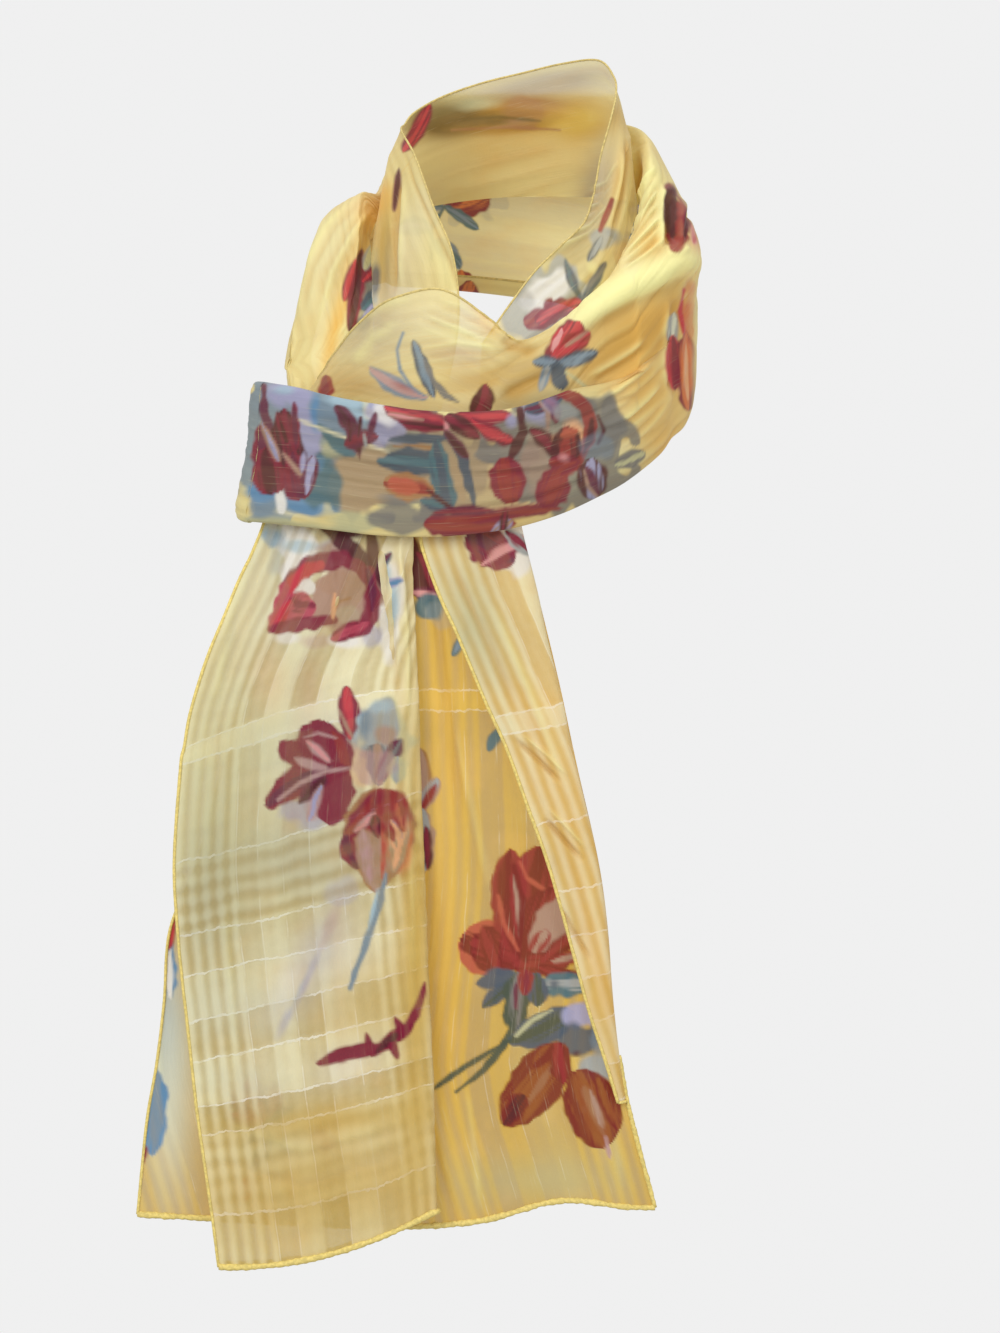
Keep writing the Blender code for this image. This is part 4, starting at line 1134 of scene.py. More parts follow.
def petal_mask(place, base, tip, half_width, bend, peak):
    """A petal's cover, and how near its rim each place is."""
    axis = np.subtract(tip, base).astype(float)
    length = np.hypot(*axis)
    rel = place - base
    share = (rel @ axis) / length**2
    side = (rel[..., 0] * axis[1] - rel[..., 1] * axis[0]) / length
    inside = np.clip(share, 0, 1)
    side = side - bend * 4 * inside * (1 - inside)
    ragged = ragged_edge(place, 8, seed=3) * min(5.0, half_width * 0.4)
    outline = half_width * np.sin(math.pi * inside ** (math.log(0.5) / math.log(peak))) ** 0.5
    room = outline - np.abs(side) + ragged
    cover = np.clip(room / 3.0 + 0.5, 0, 1) * ((share > -0.02) & (share < 1.02))
    rim = np.clip(np.abs(side) / np.maximum(outline, 0.5), 0, 1)
    streak = noise(side / 2.2, share * 2.5 + base[0], 7) - 0.5
    return cover, np.clip((rim + streak * 0.8 - 0.25) / 0.4, 0, 1)


def lay_ink(layer, ink, cover):
    """Lays an ink over what is on the cloth: `layer` holds premultiplied colour and cover."""
    cover = cover[..., None]
    layer[..., :3] = layer[..., :3] * (1 - cover) + ink * cover
    layer[..., 3:] = layer[..., 3:] * (1 - cover) + cover


def lay_print(layer, shapes, place, shown=1.0):
    for shape in shapes:
        kind, *rest = shape
        if kind == "petal":
            *outline, rim_ink, heart_ink = rest
            cover, rim = petal_mask(place, *outline)
            ink = INKS[rim_ink] * rim[..., None] + INKS[heart_ink] * (1 - rim[..., None])
            cover = cover * PETAL_COVER
        elif kind == "stroke":
            path, half_width, name = rest
            apart, where = distance_to_path(place, path)
            thin = 0.55 + 0.45 * np.sin(math.pi * np.clip(where, 0.02, 0.98))
            ragged = ragged_edge(place, 9, seed=5) * half_width * 0.6
            cover = np.clip((half_width * thin - apart + ragged) / 2.4 + 0.5, 0, 1) * STROKE_COVER
            ink = INKS[name]
        else:
            across_at, down_at, half_across, half_down, name, strength, tilt = rest
            a, b = turned_by(place - (across_at, down_at), tilt)
            a, b = a / half_across, b / half_down
            ragged = ragged_edge(place, 13, seed=11) * 0.6
            edge = 5.0 / min(half_across, half_down)
            cover = np.clip((1.05 - np.hypot(a, b) + ragged) / edge, 0, 1) * strength
            if kind == "tint":
                cover = np.clip(np.exp(-1.2 * (a * a + b * b)) * strength, 0, 1)
            ink = INKS[name]
        lay_ink(layer, ink, cover * shown)


# ---- Creases, in the camera's frame: the path, half width in mm, height in mm (below 0 a trough)

def fan(first, last, count, half_width, height):
    """Pleats side by side, from one path to another, with a trough between each two ridges."""
    first = np.array(first, float)
    last = np.array(last, float)
    rows = []
    for i in range(2 * count - 1):
        share = (i + 0.4 * math.sin(i * 2.4)) / (2 * count - 2)
        tall = height * (0.75 + 0.25 * math.sin(i * 1.7 + 1)) * (1 if i % 2 == 0 else -1)
        rows.append((first + (last - first) * share, half_width, tall))
    return tuple(rows)


CREASES = {
    "collar": (
        (((404, 150), (413, 182), (431, 222), (450, 262), (457, 290)), 0.8, -1.2),
        (((399, 172), (396, 206), (393, 250), (394, 296)), 1.6, -2.2),
        (((404, 176), (402, 210), (400, 252), (401, 296)), 1.4, 0.9),
        (((627, 138), (629, 160), (622, 200), (612, 235)), 1.3, -2),
        (((623, 150), (622, 180), (612, 215), (604, 232)), 1.6, 1.2),
        (((560, 318), (582, 292), (600, 262)), 2, -1.5),
        (((470, 104), (520, 108), (590, 118)), 3, -1.6),
        (((440, 126), (500, 128), (560, 118)), 2.5, -1.2),
        *fan(((588, 190), (606, 182), (618, 160)), ((552, 250), (586, 236), (606, 214)), 6, 0.9, 0.9),
        *fan(((550, 250), (575, 240), (600, 226)), ((512, 318), (552, 290), (590, 256)), 4, 1.6, 0.6),
    ),
    "wrap": (
        (((632, 145), (633, 165), (628, 200), (617, 235), (604, 262)), 1.4, 1.8),
        (((638, 150), (638, 172), (632, 202), (621, 230), (604, 264), (586, 290)), 1.3, -2.4),
        *fan(
            ((656, 166), (646, 180), (637, 200), (628, 224)),
            ((664, 238), (652, 250), (638, 260), (620, 272)), 7, 1, 1.5,
        ),
        (((664, 182), (662, 215), (661, 250)), 1.5, 2.2),
        (((671, 190), (670, 220), (671, 246)), 2.2, -4.5),
        (((678, 198), (677, 222), (677, 244)), 1, -1.5),
        (((684, 196), (683, 225), (680, 246)), 1.3, 1.5),
        (((690, 204), (688, 225), (684, 240)), 1.1, -1.8),
        (((666, 252), (678, 254), (690, 246)), 1.6, 1.2),
        (((552, 330), (600, 304), (640, 284), (680, 264), (704, 250)), 6.5, 3),
        (((580, 338), (630, 306), (668, 288), (694, 266)), 4, -2.2),
        *fan(
            ((648, 338), (632, 350), (610, 364), (584, 378)),
            ((668, 404), (654, 422), (636, 440), (612, 452)), 7, 1.3, 1.3,
        ),
        (((670, 300), (665, 330), (664, 362), (667, 396)), 1.4, 1.8),
        (((677, 298), (672, 330), (671, 365), (674, 398)), 1.8, -3),
        (((683, 320), (680, 350), (682, 392)), 1.2, 1.3),
        (((690, 330), (689, 360), (688, 396)), 1.2, -1.4),
        *fan(
            ((292, 322), (304, 266), (326, 226), (356, 196)),
            ((332, 330), (346, 276), (366, 236), (386, 208)), 4, 1.8, 0.9,
        ),
        (((374, 216), (366, 246), (358, 276), (350, 316)), 2.6, -2.5),
        (((384, 215), (381, 256), (386, 300)), 2.4, -2.4),
        *fan(
            ((436, 298), (460, 306), (486, 322), (506, 338)),
            ((414, 322), (442, 334), (475, 344), (506, 346)), 4, 1.3, 0.8,
        ),
        *fan(((414, 350), (455, 343), (500, 348)), ((420, 366), (462, 358), (512, 360)), 2, 1.2, 0.7),
        (((330, 346), (352, 322), (384, 304), (420, 296)), 2.5, 0.9),
        (((352, 366), (372, 340), (402, 318)), 2.6, 0.8),
        (((504, 336), (512, 346), (540, 352)), 3, -1.6),
        (((500, 398), (530, 384), (560, 372)), 3, -1.6),
        *fan(((262, 400), (340, 412), (440, 440)), ((252, 500), (330, 512), (430, 520)), 6, 1.4, 0.5),
        *fan(((450, 440), (540, 440), (620, 420)), ((450, 520), (540, 505), (620, 470)), 6, 1.2, 0.7),
        (((262, 424), (276, 452), (300, 480)), 1.3, 0.8),
    ),
    "front end": (
        (((380, 545), (386, 590), (392, 640), (398, 700)), 1.4, -1.6),
        (((399, 545), (404, 590), (407, 650), (408, 720)), 1.4, 1.8),
        (((366, 545), (372, 600), (380, 660)), 1.6, 1.3),
        (((290, 545), (284, 590), (276, 640)), 2, 0.9),
        (((246, 560), (232, 600), (222, 660), (216, 720)), 2.5, 1),
        (((330, 545), (336, 600), (340, 660)), 2.2, -0.8),
        (((404, 720), (409, 800), (412, 900), (413, 1000)), 1.6, 0.9),
        (((396, 740), (402, 830), (406, 930)), 1.4, -0.7),
        (((226, 900), (232, 1000), (236, 1100)), 2.6, 0.7),
        (((330, 900), (340, 1000), (344, 1100)), 3, -0.7),
        (((214, 1120), (300, 1150), (420, 1120)), 2.4, 0.5),
        (((216, 1160), (300, 1186), (424, 1150)), 2.4, -0.5),
    ),
    "back end": (
        (((428, 560), (440, 640), (452, 740), (462, 840)), 2, -1.2),
        (((446, 700), (470, 800), (492, 900)), 2.4, 0.9),
        (((520, 820), (550, 900), (590, 1000)), 3, -0.8),
        (((466, 1080), (474, 1140), (480, 1215)), 2, 1),
        (((600, 1060), (612, 1120), (624, 1190)), 2.4, 0.9),
        (((170, 900), (160, 1000), (158, 1150)), 2, 0.8),
    ),
    "turnover": (
        (((450, 560), (480, 620), (520, 720)), 2, -1),
        (((492, 600), (530, 690), (568, 800)), 2.2, 0.9),
        (((514, 738), (536, 758), (562, 784)), 1.2, -1.7),
        (((522, 734), (546, 754), (568, 776)), 1, 1),
        (((544, 818), (560, 836), (584, 862)), 1.2, -1.7),
        (((548, 808), (566, 826), (588, 850)), 1, 1),
        (((560, 906), (572, 930), (592, 962)), 1.2, -1.4),
        (((470, 590), (488, 640), (506, 690)), 1, 0.6),
    ),
}


def crease_lift(place, creases):
    lift = np.zeros(place.shape[:-1])
    for path, half_width, height in creases:
        apart, where = distance_to_path(place, path)
        fade = np.clip(np.minimum(where, 1 - where) * 5, 0, 1)
        lift += height * fade * np.exp(-((apart * STEP / half_width) ** 2))
    return lift


def lay_print_and_painted_light(layer, prints_and_light, place, lift, strength):
    """Lays the soft tints, then painted shade in the folds' troughs and painted highlight on their
    ridges, then the other shapes.

    Each entry is a row of shapes, print and painted light, with how far it shows at each place."""
    for shapes, shown in prints_and_light:
        lay_print(layer, [shape for shape in shapes if shape[0] == "tint"], place, shown)
    paint_fold_shade_and_highlight(layer, lift, strength)
    for shapes, shown in prints_and_light:
        lay_print(layer, [shape for shape in shapes if shape[0] != "tint"], place, shown)


FULL_LIFT = 1.8  # mm of lift at which a fold has its whole painted shade or painted highlight


def paint_fold_shade_and_highlight(layer, lift, strength):
    """Paints shade into the troughs and a highlight onto the ridges, by how far each is lifted."""
    # Painted shade in the troughs, then painted highlight on the ridges.
    lay_ink(layer, INKS["amber"], np.clip(-lift / FULL_LIFT, 0, 1) * strength)
    lay_ink(layer, INKS["lemon"], np.clip(lift / FULL_LIFT, 0, 1) * strength)


def grid_normals(grid):
    down = np.gradient(grid, axis=0)
    over = np.gradient(grid, axis=1)
    return unit(np.cross(down, over))


def creased(grid, lift):
    """The grid with its surface lifted by `lift` mm, and its normals."""
    grid = grid + grid_normals(grid) * lift[..., None]
    return grid, grid_normals(grid)


def walked_across(grid):
    """Distance across the sheet from its first edge."""
    steps = length_of(np.diff(grid, axis=1))
    return np.concatenate([np.zeros((len(grid), 1)), np.cumsum(steps, 1)], 1)


def walked_along(grid):
    steps = length_of(np.diff(grid, axis=0)).mean(1)
    return np.concatenate([[0], np.cumsum(steps)])


# ---- Making objects


def add_object(name, mesh, material):
    mesh.materials.append(material)
    piece = bpy.data.objects.new(name, mesh)
    bpy.context.scene.collection.objects.link(piece)
    return piece


def add_sheet(name, grid, normals, layer, cloth, material):
    """A piece of cloth: a single surface over a grid, with what is drawn on it as attributes."""
    rows, columns = grid.shape[:2]
    corner = np.arange(rows * columns).reshape(rows, columns)
    faces = np.stack([corner[:-1, :-1], corner[1:, :-1], corner[1:, 1:], corner[:-1, 1:]], -1)
    faces = faces.reshape(-1, 4)
    mesh = bpy.data.meshes.new(name)
    mesh.from_pydata((grid.reshape(-1, 3) * MM).tolist(), [], faces.tolist())
    cover = layer[..., 3:]
    colour = np.concatenate([layer[..., :3] / np.maximum(cover, 1e-4), cover], -1)
    printed = mesh.attributes.new("print", "FLOAT_COLOR", "POINT")
    printed.data.foreach_set("color", colour.astype(np.float32).ravel())
    woven = mesh.attributes.new("cloth", "FLOAT_VECTOR", "POINT")
    woven.data.foreach_set("vector", cloth.astype(np.float32).ravel())
    chart = mesh.uv_layers.new(name="OFBake")
    row, column = np.divmod(faces.ravel(), columns)
    spots = np.stack([0.01 + 0.98 * column / (columns - 1), 0.01 + 0.98 * row / (rows - 1)], 1)
    chart.data.foreach_set("uv", spots.astype(np.float32).ravel())
    mesh.shade_smooth()
    mesh.normals_split_custom_set_from_vertices(normals.reshape(-1, 3).tolist())
    return add_object(name, mesh, material)


HEM_FACE = 1.3  # mm along a hem
THICK_HEM = 1.1
THICK_HEM_ROUGH = 0.4
THIN_HEM_ROUGH = 0.12


def hem_tube(path, radius, sides, rough):
    """Points and faces of a slightly uneven tube along `path`, with closed ends."""
    walked = np.concatenate([[0], np.cumsum(length_of(np.diff(path, axis=0)))])
    count = max(4, int(walked[-1] / HEM_FACE))
    where = np.linspace(0, walked[-1], count)
    centre = np.stack([np.interp(where, walked, path[:, i]) for i in range(3)], 1)
    ahead = unit(np.gradient(centre, axis=0))
    aside = unit(np.cross(ahead, [0.13, -1.0, 0.31]))
    over = np.cross(ahead, aside)
    beads = noise(where / 3.1, where * 0, 21) - 0.5 + 0.3 * np.sin(where * 1.7)
    uneven = radius * (1 + rough * beads)
    angle = np.linspace(0, 2 * math.pi, sides, endpoint=False)
    ring = aside[:, None] * np.cos(angle)[:, None] + over[:, None] * np.sin(angle)[:, None]
    points = centre[:, None] + ring * uneven[:, None, None]
    corner = np.arange(count * sides).reshape(count, sides)
    beside = np.roll(corner, -1, 1)
    faces = np.stack([corner[:-1], beside[:-1], beside[1:], corner[1:]], -1).reshape(-1, 4).tolist()
    faces.append(corner[0, ::-1].tolist())
    faces.append(corner[-1].tolist())
    return points.reshape(-1, 3), faces


def add_hem(name, paths, radius, material, sides=7):
    """The rolled hems along `paths`, each an edge and how thick it is there, as one piece."""
    points = []
    faces = []
    count = 0
    for path, thickness in paths:
        rough = THICK_HEM_ROUGH if thickness > THICK_HEM else THIN_HEM_ROUGH
        tube, tube_faces = hem_tube(path, radius * thickness, sides, rough)
        points.append(tube)
        faces += [[corner + count for corner in face] for face in tube_faces]
        count += len(tube)
    mesh = bpy.data.meshes.new(name)
    mesh.from_pydata((np.concatenate(points) * MM).tolist(), [], faces)
    mesh.shade_smooth()
    return add_object(name, mesh, material)


# ---- Materials


class Shading:
    """A material's node tree, with short ways to add to it.

    A number given for a socket is a constant."""

    def __init__(self, name):
        self.material = bpy.data.materials.new(name)
        self.material.use_nodes = True
        self.tree = self.material.node_tree
        self.tree.nodes.clear()

    def add(self, kind, inputs=(), **settings):
        node = self.tree.nodes.new("ShaderNode" + kind)
        for name, value in settings.items():
            setattr(node, name, value)
        for name, value in dict(inputs).items():
            if isinstance(value, bpy.types.NodeSocket):
                self.tree.links.new(value, node.inputs[name])
            else:
                node.inputs[name].default_value = value
        return node

    def math(self, operation, *values, clamp=False):
        node = self.add("Math", dict(enumerate(values)), operation=operation, use_clamp=clamp)
        return node.outputs[0]

    def times(self, first, second, clamp=False):
        return self.math("MULTIPLY", first, second, clamp=clamp)

    def plus(self, first, second, clamp=False):
        return self.math("ADD", first, second, clamp=clamp)

    def times_plus(self, value, factor, added, clamp=False):
        return self.math("MULTIPLY_ADD", value, factor, added, clamp=clamp)

    def rescale(self, value, low, high, to_low=0.0, to_high=1.0):
        inputs = {
            "Value": value, "From Min": low, "From Max": high, "To Min": to_low, "To Max": to_high,
        }
        return self.add("MapRange", inputs, interpolation_type="SMOOTHSTEP").outputs[0]

    def mix(self, share, first, second):
        """A mix of two colours; a plain colour is three numbers."""
        node = self.add("Mix", data_type="RGBA")
        for index, value in ((0, share), (6, first), (7, second)):
            if isinstance(value, bpy.types.NodeSocket):
                self.tree.links.new(value, node.inputs[index])
            elif index:
                node.inputs[index].default_value = (*value, 1)
            else:
                node.inputs[index].default_value = value
        return node.outputs[2]

    def ramp(self, value, stops, interpolation="LINEAR"):
        """A value that follows `stops`, each a place from 0 to 1 and the value there."""
        node = self.add("ValToRGB", {"Fac": value})
        node.color_ramp.interpolation = interpolation
        elements = node.color_ramp.elements
        while len(elements) < len(stops):
            elements.new(0.5)
        for element, (place, level) in zip(elements, stops):
            element.position = place
            element.color = (level, level, level, 1)
        return self.add("SeparateColor", {"Color": node.outputs[0]}).outputs[0]

    def ramp_signed(self, value, stops):
        """The same for levels from -1 to 1."""
        half = self.ramp(value, [(place, 0.5 + level / 2) for place, level in stops])
        return self.times_plus(half, 2.0, -1.0)

    def noise(self, vector, scale, detail=2.0):
        inputs = {"Vector": vector, "Scale": scale, "Detail": detail}
        return self.add("TexNoise", inputs).outputs[0]


def levels(*stretches):
    """Stops of a ramp that is level along each stretch: from, to, and the level there."""
    return tuple(stop for start, end, level in stretches for stop in ((start, level), (end, level)))


# Lengthwise bands of the weave: distances from the hem in mm, and how dense the cloth is.
BLOCKS = levels(
    (0, 26, 0.5), (27.5, 35.5, 0.3), (37, 46.5, 0.9), (48, 58.5, 0.15), (60, 72.5, 1.0),
    (74, 83, 0.55), (84.5, 112.5, 0.75),
)
BACK_BLOCKS = levels(
    (0, 26, 0.55), (27.5, 38, 0.35), (39, 47, 0.25), (48, 56.5, 0.75), (57.5, 66, 0.1),
    (67, 112.5, 0.62),
)
# Where fine lengthwise stripes show, and how strongly.
FINE_STRIPES = levels((0, 26, 1.0), (28, 83, 0.12), (86, 112.5, 0.8))
BACK_FINE_STRIPES = levels((0, 26, 1.0), (28, 66, 0.1), (69, 112.5, 0.9))
STRIPE_PITCH = 6.0
HALF_STRIP = 112.5
# Crosswise bands: distances from an end hem in mm, and what they add to the density.
CROSS_BANDS = levels(
    (0, 17, -0.1), (19, 49, 0.05), (51, 65, -0.25), (67, 85, 0.2), (87, 104, -0.15),
    (105, 122, 0.2), (124, 141, 0.0), (143, 171, -0.15), (173, 211, 0.0), (212.5, 220, 0.6),
    (221.5, 260, 0.0),
)
CROSS_REACH = 260.0
# How strongly the lengthwise bands show, by the distance from an end hem in mm.
BLOCK_CONTRAST = levels(
    (0, 17, 0.8), (19, 49, 0.4), (51, 65, 0.15), (67, 104, 0.6), (106, 141, 0.35),
    (143, 171, 0.2), (174, 211, 0.5), (213, 220, 0.2), (222, 260, 1.0),
)
# Where dark threads cross the stripes, and how strongly.
CHECKS = (*levels((0, 18, 0.0), (20, 48, 0.45), (51, 142, 0.0), (144, 170, 1.0)), (173, 0.0))
CHECK_PITCH = 7.2
# White threads laid across at each end, at this distance from the hem in mm.
THREAD_LINES = (18, 50, 66, 86, 104.5, 123, 142.5, 172, 212, 220.5)
THREAD_HALF_WIDTH = 0.45
# White threads laid lengthwise, at this distance from the side hem in mm.
LENGTHWISE_LINES = (27, 36.5, 47.5, 59.5, 73)
FRONT_WEAVE = {
    "blocks": BLOCKS, "fine": FINE_STRIPES, "bands": CROSS_BANDS, "contrast": BLOCK_CONTRAST,
    "checks": CHECKS, "threads": THREAD_LINES,
}
# The same for the half that hangs behind, which is plainer.
BACK_WEAVE = {
    "blocks": BACK_BLOCKS,
    "fine": BACK_FINE_STRIPES,
    "bands": levels((0, 17, -0.1), (19, 211, 0.0), (212.5, 220, 0.6), (221.5, 260, 0.0)),
    "contrast": ((0, 1.0), (211, 0.8), (213, 0.2), (220, 0.2), (222, 0.8), (260, 0.8)),
    "checks": ((0, 0.0), (260, 0.0)),
    "threads": (212, 220.5),
}


MIDDLE_DENSITY = 0.6
STRIPE_DEPTH = 0.42
CHECK_DEPTH = 0.3
SLUB_DEPTH = 0.3
# How far the weave's lines wander and the laid threads ripple, in metres.
WANDER = 0.004
THREAD_RIPPLE = 0.0022


def scaled(stops, reach):
    return [(place / reach, level) for place, level in stops]


def cloth_material(name, dense, sheer, alpha, weave, threads=0.0, tables=FRONT_WEAVE):
    """Chiffon: its colour where it is densely and thinly woven, its cover where it is thin and where
    it is dense, how far the weave shows, and how white the threads laid in at the ends are."""
    nodes = Shading(name)
    printed = nodes.add("Attribute", attribute_name="print")
    cloth = nodes.add("Attribute", attribute_name="cloth")
    vector = cloth.outputs["Vector"]
    parts = nodes.add("SeparateXYZ", {"Vector": vector}).outputs
    wander = nodes.noise(vector, 60.0)
    wander = nodes.times_plus(wander, WANDER, -WANDER / 2)
    u = nodes.plus(parts[0], wander)
    v = nodes.times_plus(wander, 0.35, parts[1])
    u_share = nodes.math("DIVIDE", u, CROSS_REACH * MM, clamp=True)
    v_share = nodes.math("DIVIDE", v, HALF_STRIP * MM, clamp=True)
    blocks = nodes.ramp(v_share, scaled(tables["blocks"], HALF_STRIP))
    contrast = nodes.ramp(u_share, scaled(tables["contrast"], CROSS_REACH))
    blocks = nodes.math("SUBTRACT", blocks, MIDDLE_DENSITY)
    blocks = nodes.times_plus(blocks, contrast, MIDDLE_DENSITY)
    stripes = nodes.math("SINE", nodes.times(v, 2 * math.pi / (STRIPE_PITCH * MM)))
    fine = nodes.ramp(v_share, scaled(tables["fine"], HALF_STRIP))
    stripes = nodes.times(stripes, fine)
    density = nodes.times_plus(stripes, STRIPE_DEPTH, blocks)
    bands = nodes.ramp_signed(u_share, scaled(tables["bands"], CROSS_REACH))
    density = nodes.plus(density, bands)
    checks = nodes.math("SINE", nodes.times(u, 2 * math.pi / (CHECK_PITCH * MM)))
    checked = nodes.ramp(u_share, scaled(tables["checks"], CROSS_REACH))
    checks = nodes.times(checks, checked)
    density = nodes.times_plus(checks, -CHECK_DEPTH, density)
    slubs = nodes.noise(vector, 220.0, 3.0)
    slubs = nodes.times_plus(slubs, SLUB_DEPTH, -SLUB_DEPTH / 2)
    density = nodes.math("SUBTRACT", nodes.plus(density, slubs), MIDDLE_DENSITY)
    density = nodes.times_plus(density, weave, MIDDLE_DENSITY, clamp=True)
    ripple = nodes.noise(vector, 420.0)
    rippled = nodes.plus(u, -THREAD_RIPPLE / 2)
    rippled = nodes.times_plus(ripple, THREAD_RIPPLE, rippled)
    uneven = nodes.rescale(nodes.noise(vector, 150.0), 0.35, 0.55, 0.45, 1.0)
    lines = None
    for place in tables["threads"]:
        line = nodes.math("COMPARE", rippled, place * MM, THREAD_HALF_WIDTH * MM)
        lines = line if lines is None else nodes.plus(lines, line, clamp=True)
    lines = nodes.times(lines, uneven)
    patchy = nodes.rescale(nodes.noise(vector, 90.0), 0.4, 0.6)
    for place in LENGTHWISE_LINES:
        line = nodes.math("COMPARE", v, place * MM, THREAD_HALF_WIDTH * 0.6 * MM)
        line = nodes.times(line, nodes.times(patchy, 0.6))
        lines = nodes.plus(lines, line, clamp=True)
    lines = nodes.times(lines, threads, clamp=True)
    mottled = nodes.noise(vector, 45.0, 3.0)
    base = nodes.mix(density, sheer, dense)
    base = nodes.mix(nodes.rescale(mottled, 0.45, 0.8, 0, 0.3), base, INKS["gold"])
    base = nodes.mix(nodes.times(lines, 0.9), base, INKS["thread"])
    taken_up = nodes.rescale(density, 0, 1, 0.88, 1.0)
    cover = nodes.times(printed.outputs["Alpha"], taken_up)
    colour = nodes.mix(cover, base, printed.outputs["Color"])
    drawn_out = {0: vector, 1: (0.06, 1, 0)}
    drawn_out = nodes.add("VectorMath", drawn_out, operation="MULTIPLY")
    streaks = nodes.noise(drawn_out.outputs[0], 900.0, 3.0)
    colour = nodes.mix(nodes.rescale(streaks, 0.58, 0.8, 0, 0.2), colour, INKS["cream"])
    opacity = nodes.rescale(density, 0, 1, alpha[0], alpha[1])
    opacity = nodes.times_plus(parts[2], -0.3, opacity)
    opacity = nodes.times_plus(cover, 0.12, opacity)
    opacity = nodes.times_plus(lines, 0.2, opacity, clamp=True)
    grain = nodes.noise(vector, 900.0, 1.0)
    height = nodes.times_plus(grain, 0.35, density)
    height = nodes.times_plus(streaks, 1.2, height)
    height = nodes.times_plus(lines, 0.8, height)
    bump = nodes.add("Bump", {"Strength": 0.35, "Distance": 0.0004, "Height": height}).outputs[0]
    surface = nodes.add("BsdfPrincipled", {
        "Base Color": colour, "Roughness": 0.55, "Sheen Weight": 0.15, "Normal": bump,
        "Specular IOR Level": 0.35,
    }).outputs[0]
    through = nodes.add("BsdfTranslucent", {"Color": colour, "Normal": bump}).outputs[0]
    woven = nodes.add("MixShader", {0: 0.3, 1: surface, 2: through}).outputs[0]
    clear = nodes.add("BsdfTransparent").outputs[0]
    both = nodes.add("MixShader", {0: opacity, 1: clear, 2: woven}).outputs[0]
    nodes.add("OutputMaterial", {"Surface": both})
    return nodes.material


def hem_material(name, colour):
    nodes = Shading(name)
    place = nodes.add("TexCoord").outputs["Object"]
    stitches = nodes.noise(place, 700.0)
    dark = tuple(channel * 0.75 for channel in colour)
    base = nodes.mix(nodes.rescale(stitches, 0.3, 0.7), dark, tuple(colour))
    bump = nodes.add("Bump", {"Strength": 0.5, "Distance": 0.0004, "Height": stitches}).outputs[0]
    thread = {"Base Color": base, "Roughness": 0.7, "Normal": bump}
    surface = nodes.add("BsdfPrincipled", thread).outputs[0]
    nodes.add("OutputMaterial", {"Surface": surface})
    return nodes.material


# ---- The pieces


def add_piece(name, fields, material, hem_paths, hem_radius, hem_thread="Rolled hem"):
    """A sheet and its rolled hems, attached to the root body, with the model's part of the same name
    hidden.
    """
    piece = add_sheet("cloth_" + name, *fields, material)
    hem = add_hem("hem_" + name, hem_paths, hem_radius, bpy.data.materials[hem_thread])
    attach(piece, "root")
    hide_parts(name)
    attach(hem, "root")


def cloth_fields(along_cloth, from_hem, thin):
    """The cloth attribute: metres from the nearest end hem and side hem, and how thin the cloth is."""
    shape = np.broadcast(along_cloth, from_hem, thin).shape
    fields = [np.broadcast_to(field, shape) for field in (along_cloth * MM, from_hem * MM, thin)]
    return np.stack(fields, -1)


# Stations where one piece ends and the next begins, counted in rows of the collar's, the turn's and
# the band end's tables.
COLLAR_BORDERS = (7, 13)
TURN_BORDERS = (7, 12, 19)
BAND_END_BORDERS = (2, 5)
PLAIN_FROM = 300.0  # mm from an end hem, where the weave has no crosswise bands any more
MIDDLE = 112  # mm from either side hem


def blank(grid):
    return np.zeros((*grid.shape[:2], 4))


def lay_sprays(layer, place, spots):
    """Sprays of flowers at spots in mm on the cloth: along, across, turned by degrees, size."""
    for along_at, across_at, turned, size in spots:
        rel = (place - (along_at, across_at)) / (STEP * size)
        lay_print(layer, SPRAY_PRINT, np.stack(turned_by(rel, turned), -1))


def gathers(along_cloth, across_cloth, pitch, reach, seed):
    """Fine uneven folds that run along the cloth."""
    wander = 0.9 * noise(along_cloth / 45, across_cloth / 30, seed + 1)
    return ridged(across_cloth / pitch + wander, along_cloth / reach, seed) - 0.5


def row_at(stations, border):
    return int(np.argmin(np.abs(stations - border)))


def border_rows(stations, borders):
    """The first row, the row nearest each border, and the last row."""
    return [0, *(row_at(stations, border) for border in borders), len(stations) - 1]


def cut_out(fields, rows, columns):
    """The part of each field between two rows and two columns, both ends taken in."""
    part = (slice(rows[0], rows[1] + 1), slice(columns[0], columns[1] + 1))
    return [field[part] for field in fields]


# How far down the frame the far side of the collar starts to show through two layers.
DOUBLED_FROM = (90, 102)


def make_neck_side(sizes, colours):
    """The collar: its lapel on each side and the stand behind the neck."""
    grid, stations, _ = collar_grid(sizes.face)
    walked = walked_along(grid)[:, None]
    width = walked_across(grid)
    lift = gathers(walked, width, pitch=9, reach=60, seed=31) * 0.7
    lift += crease_lift(seen_at(grid), CREASES["collar"])
    grid, normals = creased(grid, lift)
    place = seen_at(grid)
    layer = blank(grid)
    lay_print_and_painted_light(layer, [(COLLAR_PRINT_AND_SHADE, 1.0)], place, lift, 0.65)
    station = stations[:, None]
    doubled = eased(place[..., 1], *DOUBLED_FROM) * eased(station, 4, 7) * eased(station, 16, 14)
    cloth = cloth_fields(PLAIN_FROM + walked, width, 0.3 - 0.9 * doubled)
    material = cloth_material(
        "Chiffon, collar", colours.pale, colours.thin, alpha=(0.78, 0.93), weave=0.22,
    )
    rows = border_rows(stations, COLLAR_BORDERS)
    for name, first, last in zip(("lapel_left", "stand_back", "lapel_right"), rows, rows[1:]):
        part = cut_out((grid, normals, layer, cloth), (first, last), (0, grid.shape[1] - 1))
        add_piece(name, part, material, [(part[0][:, 0], 0.6)], sizes.hem, "Rolled hem, neck")


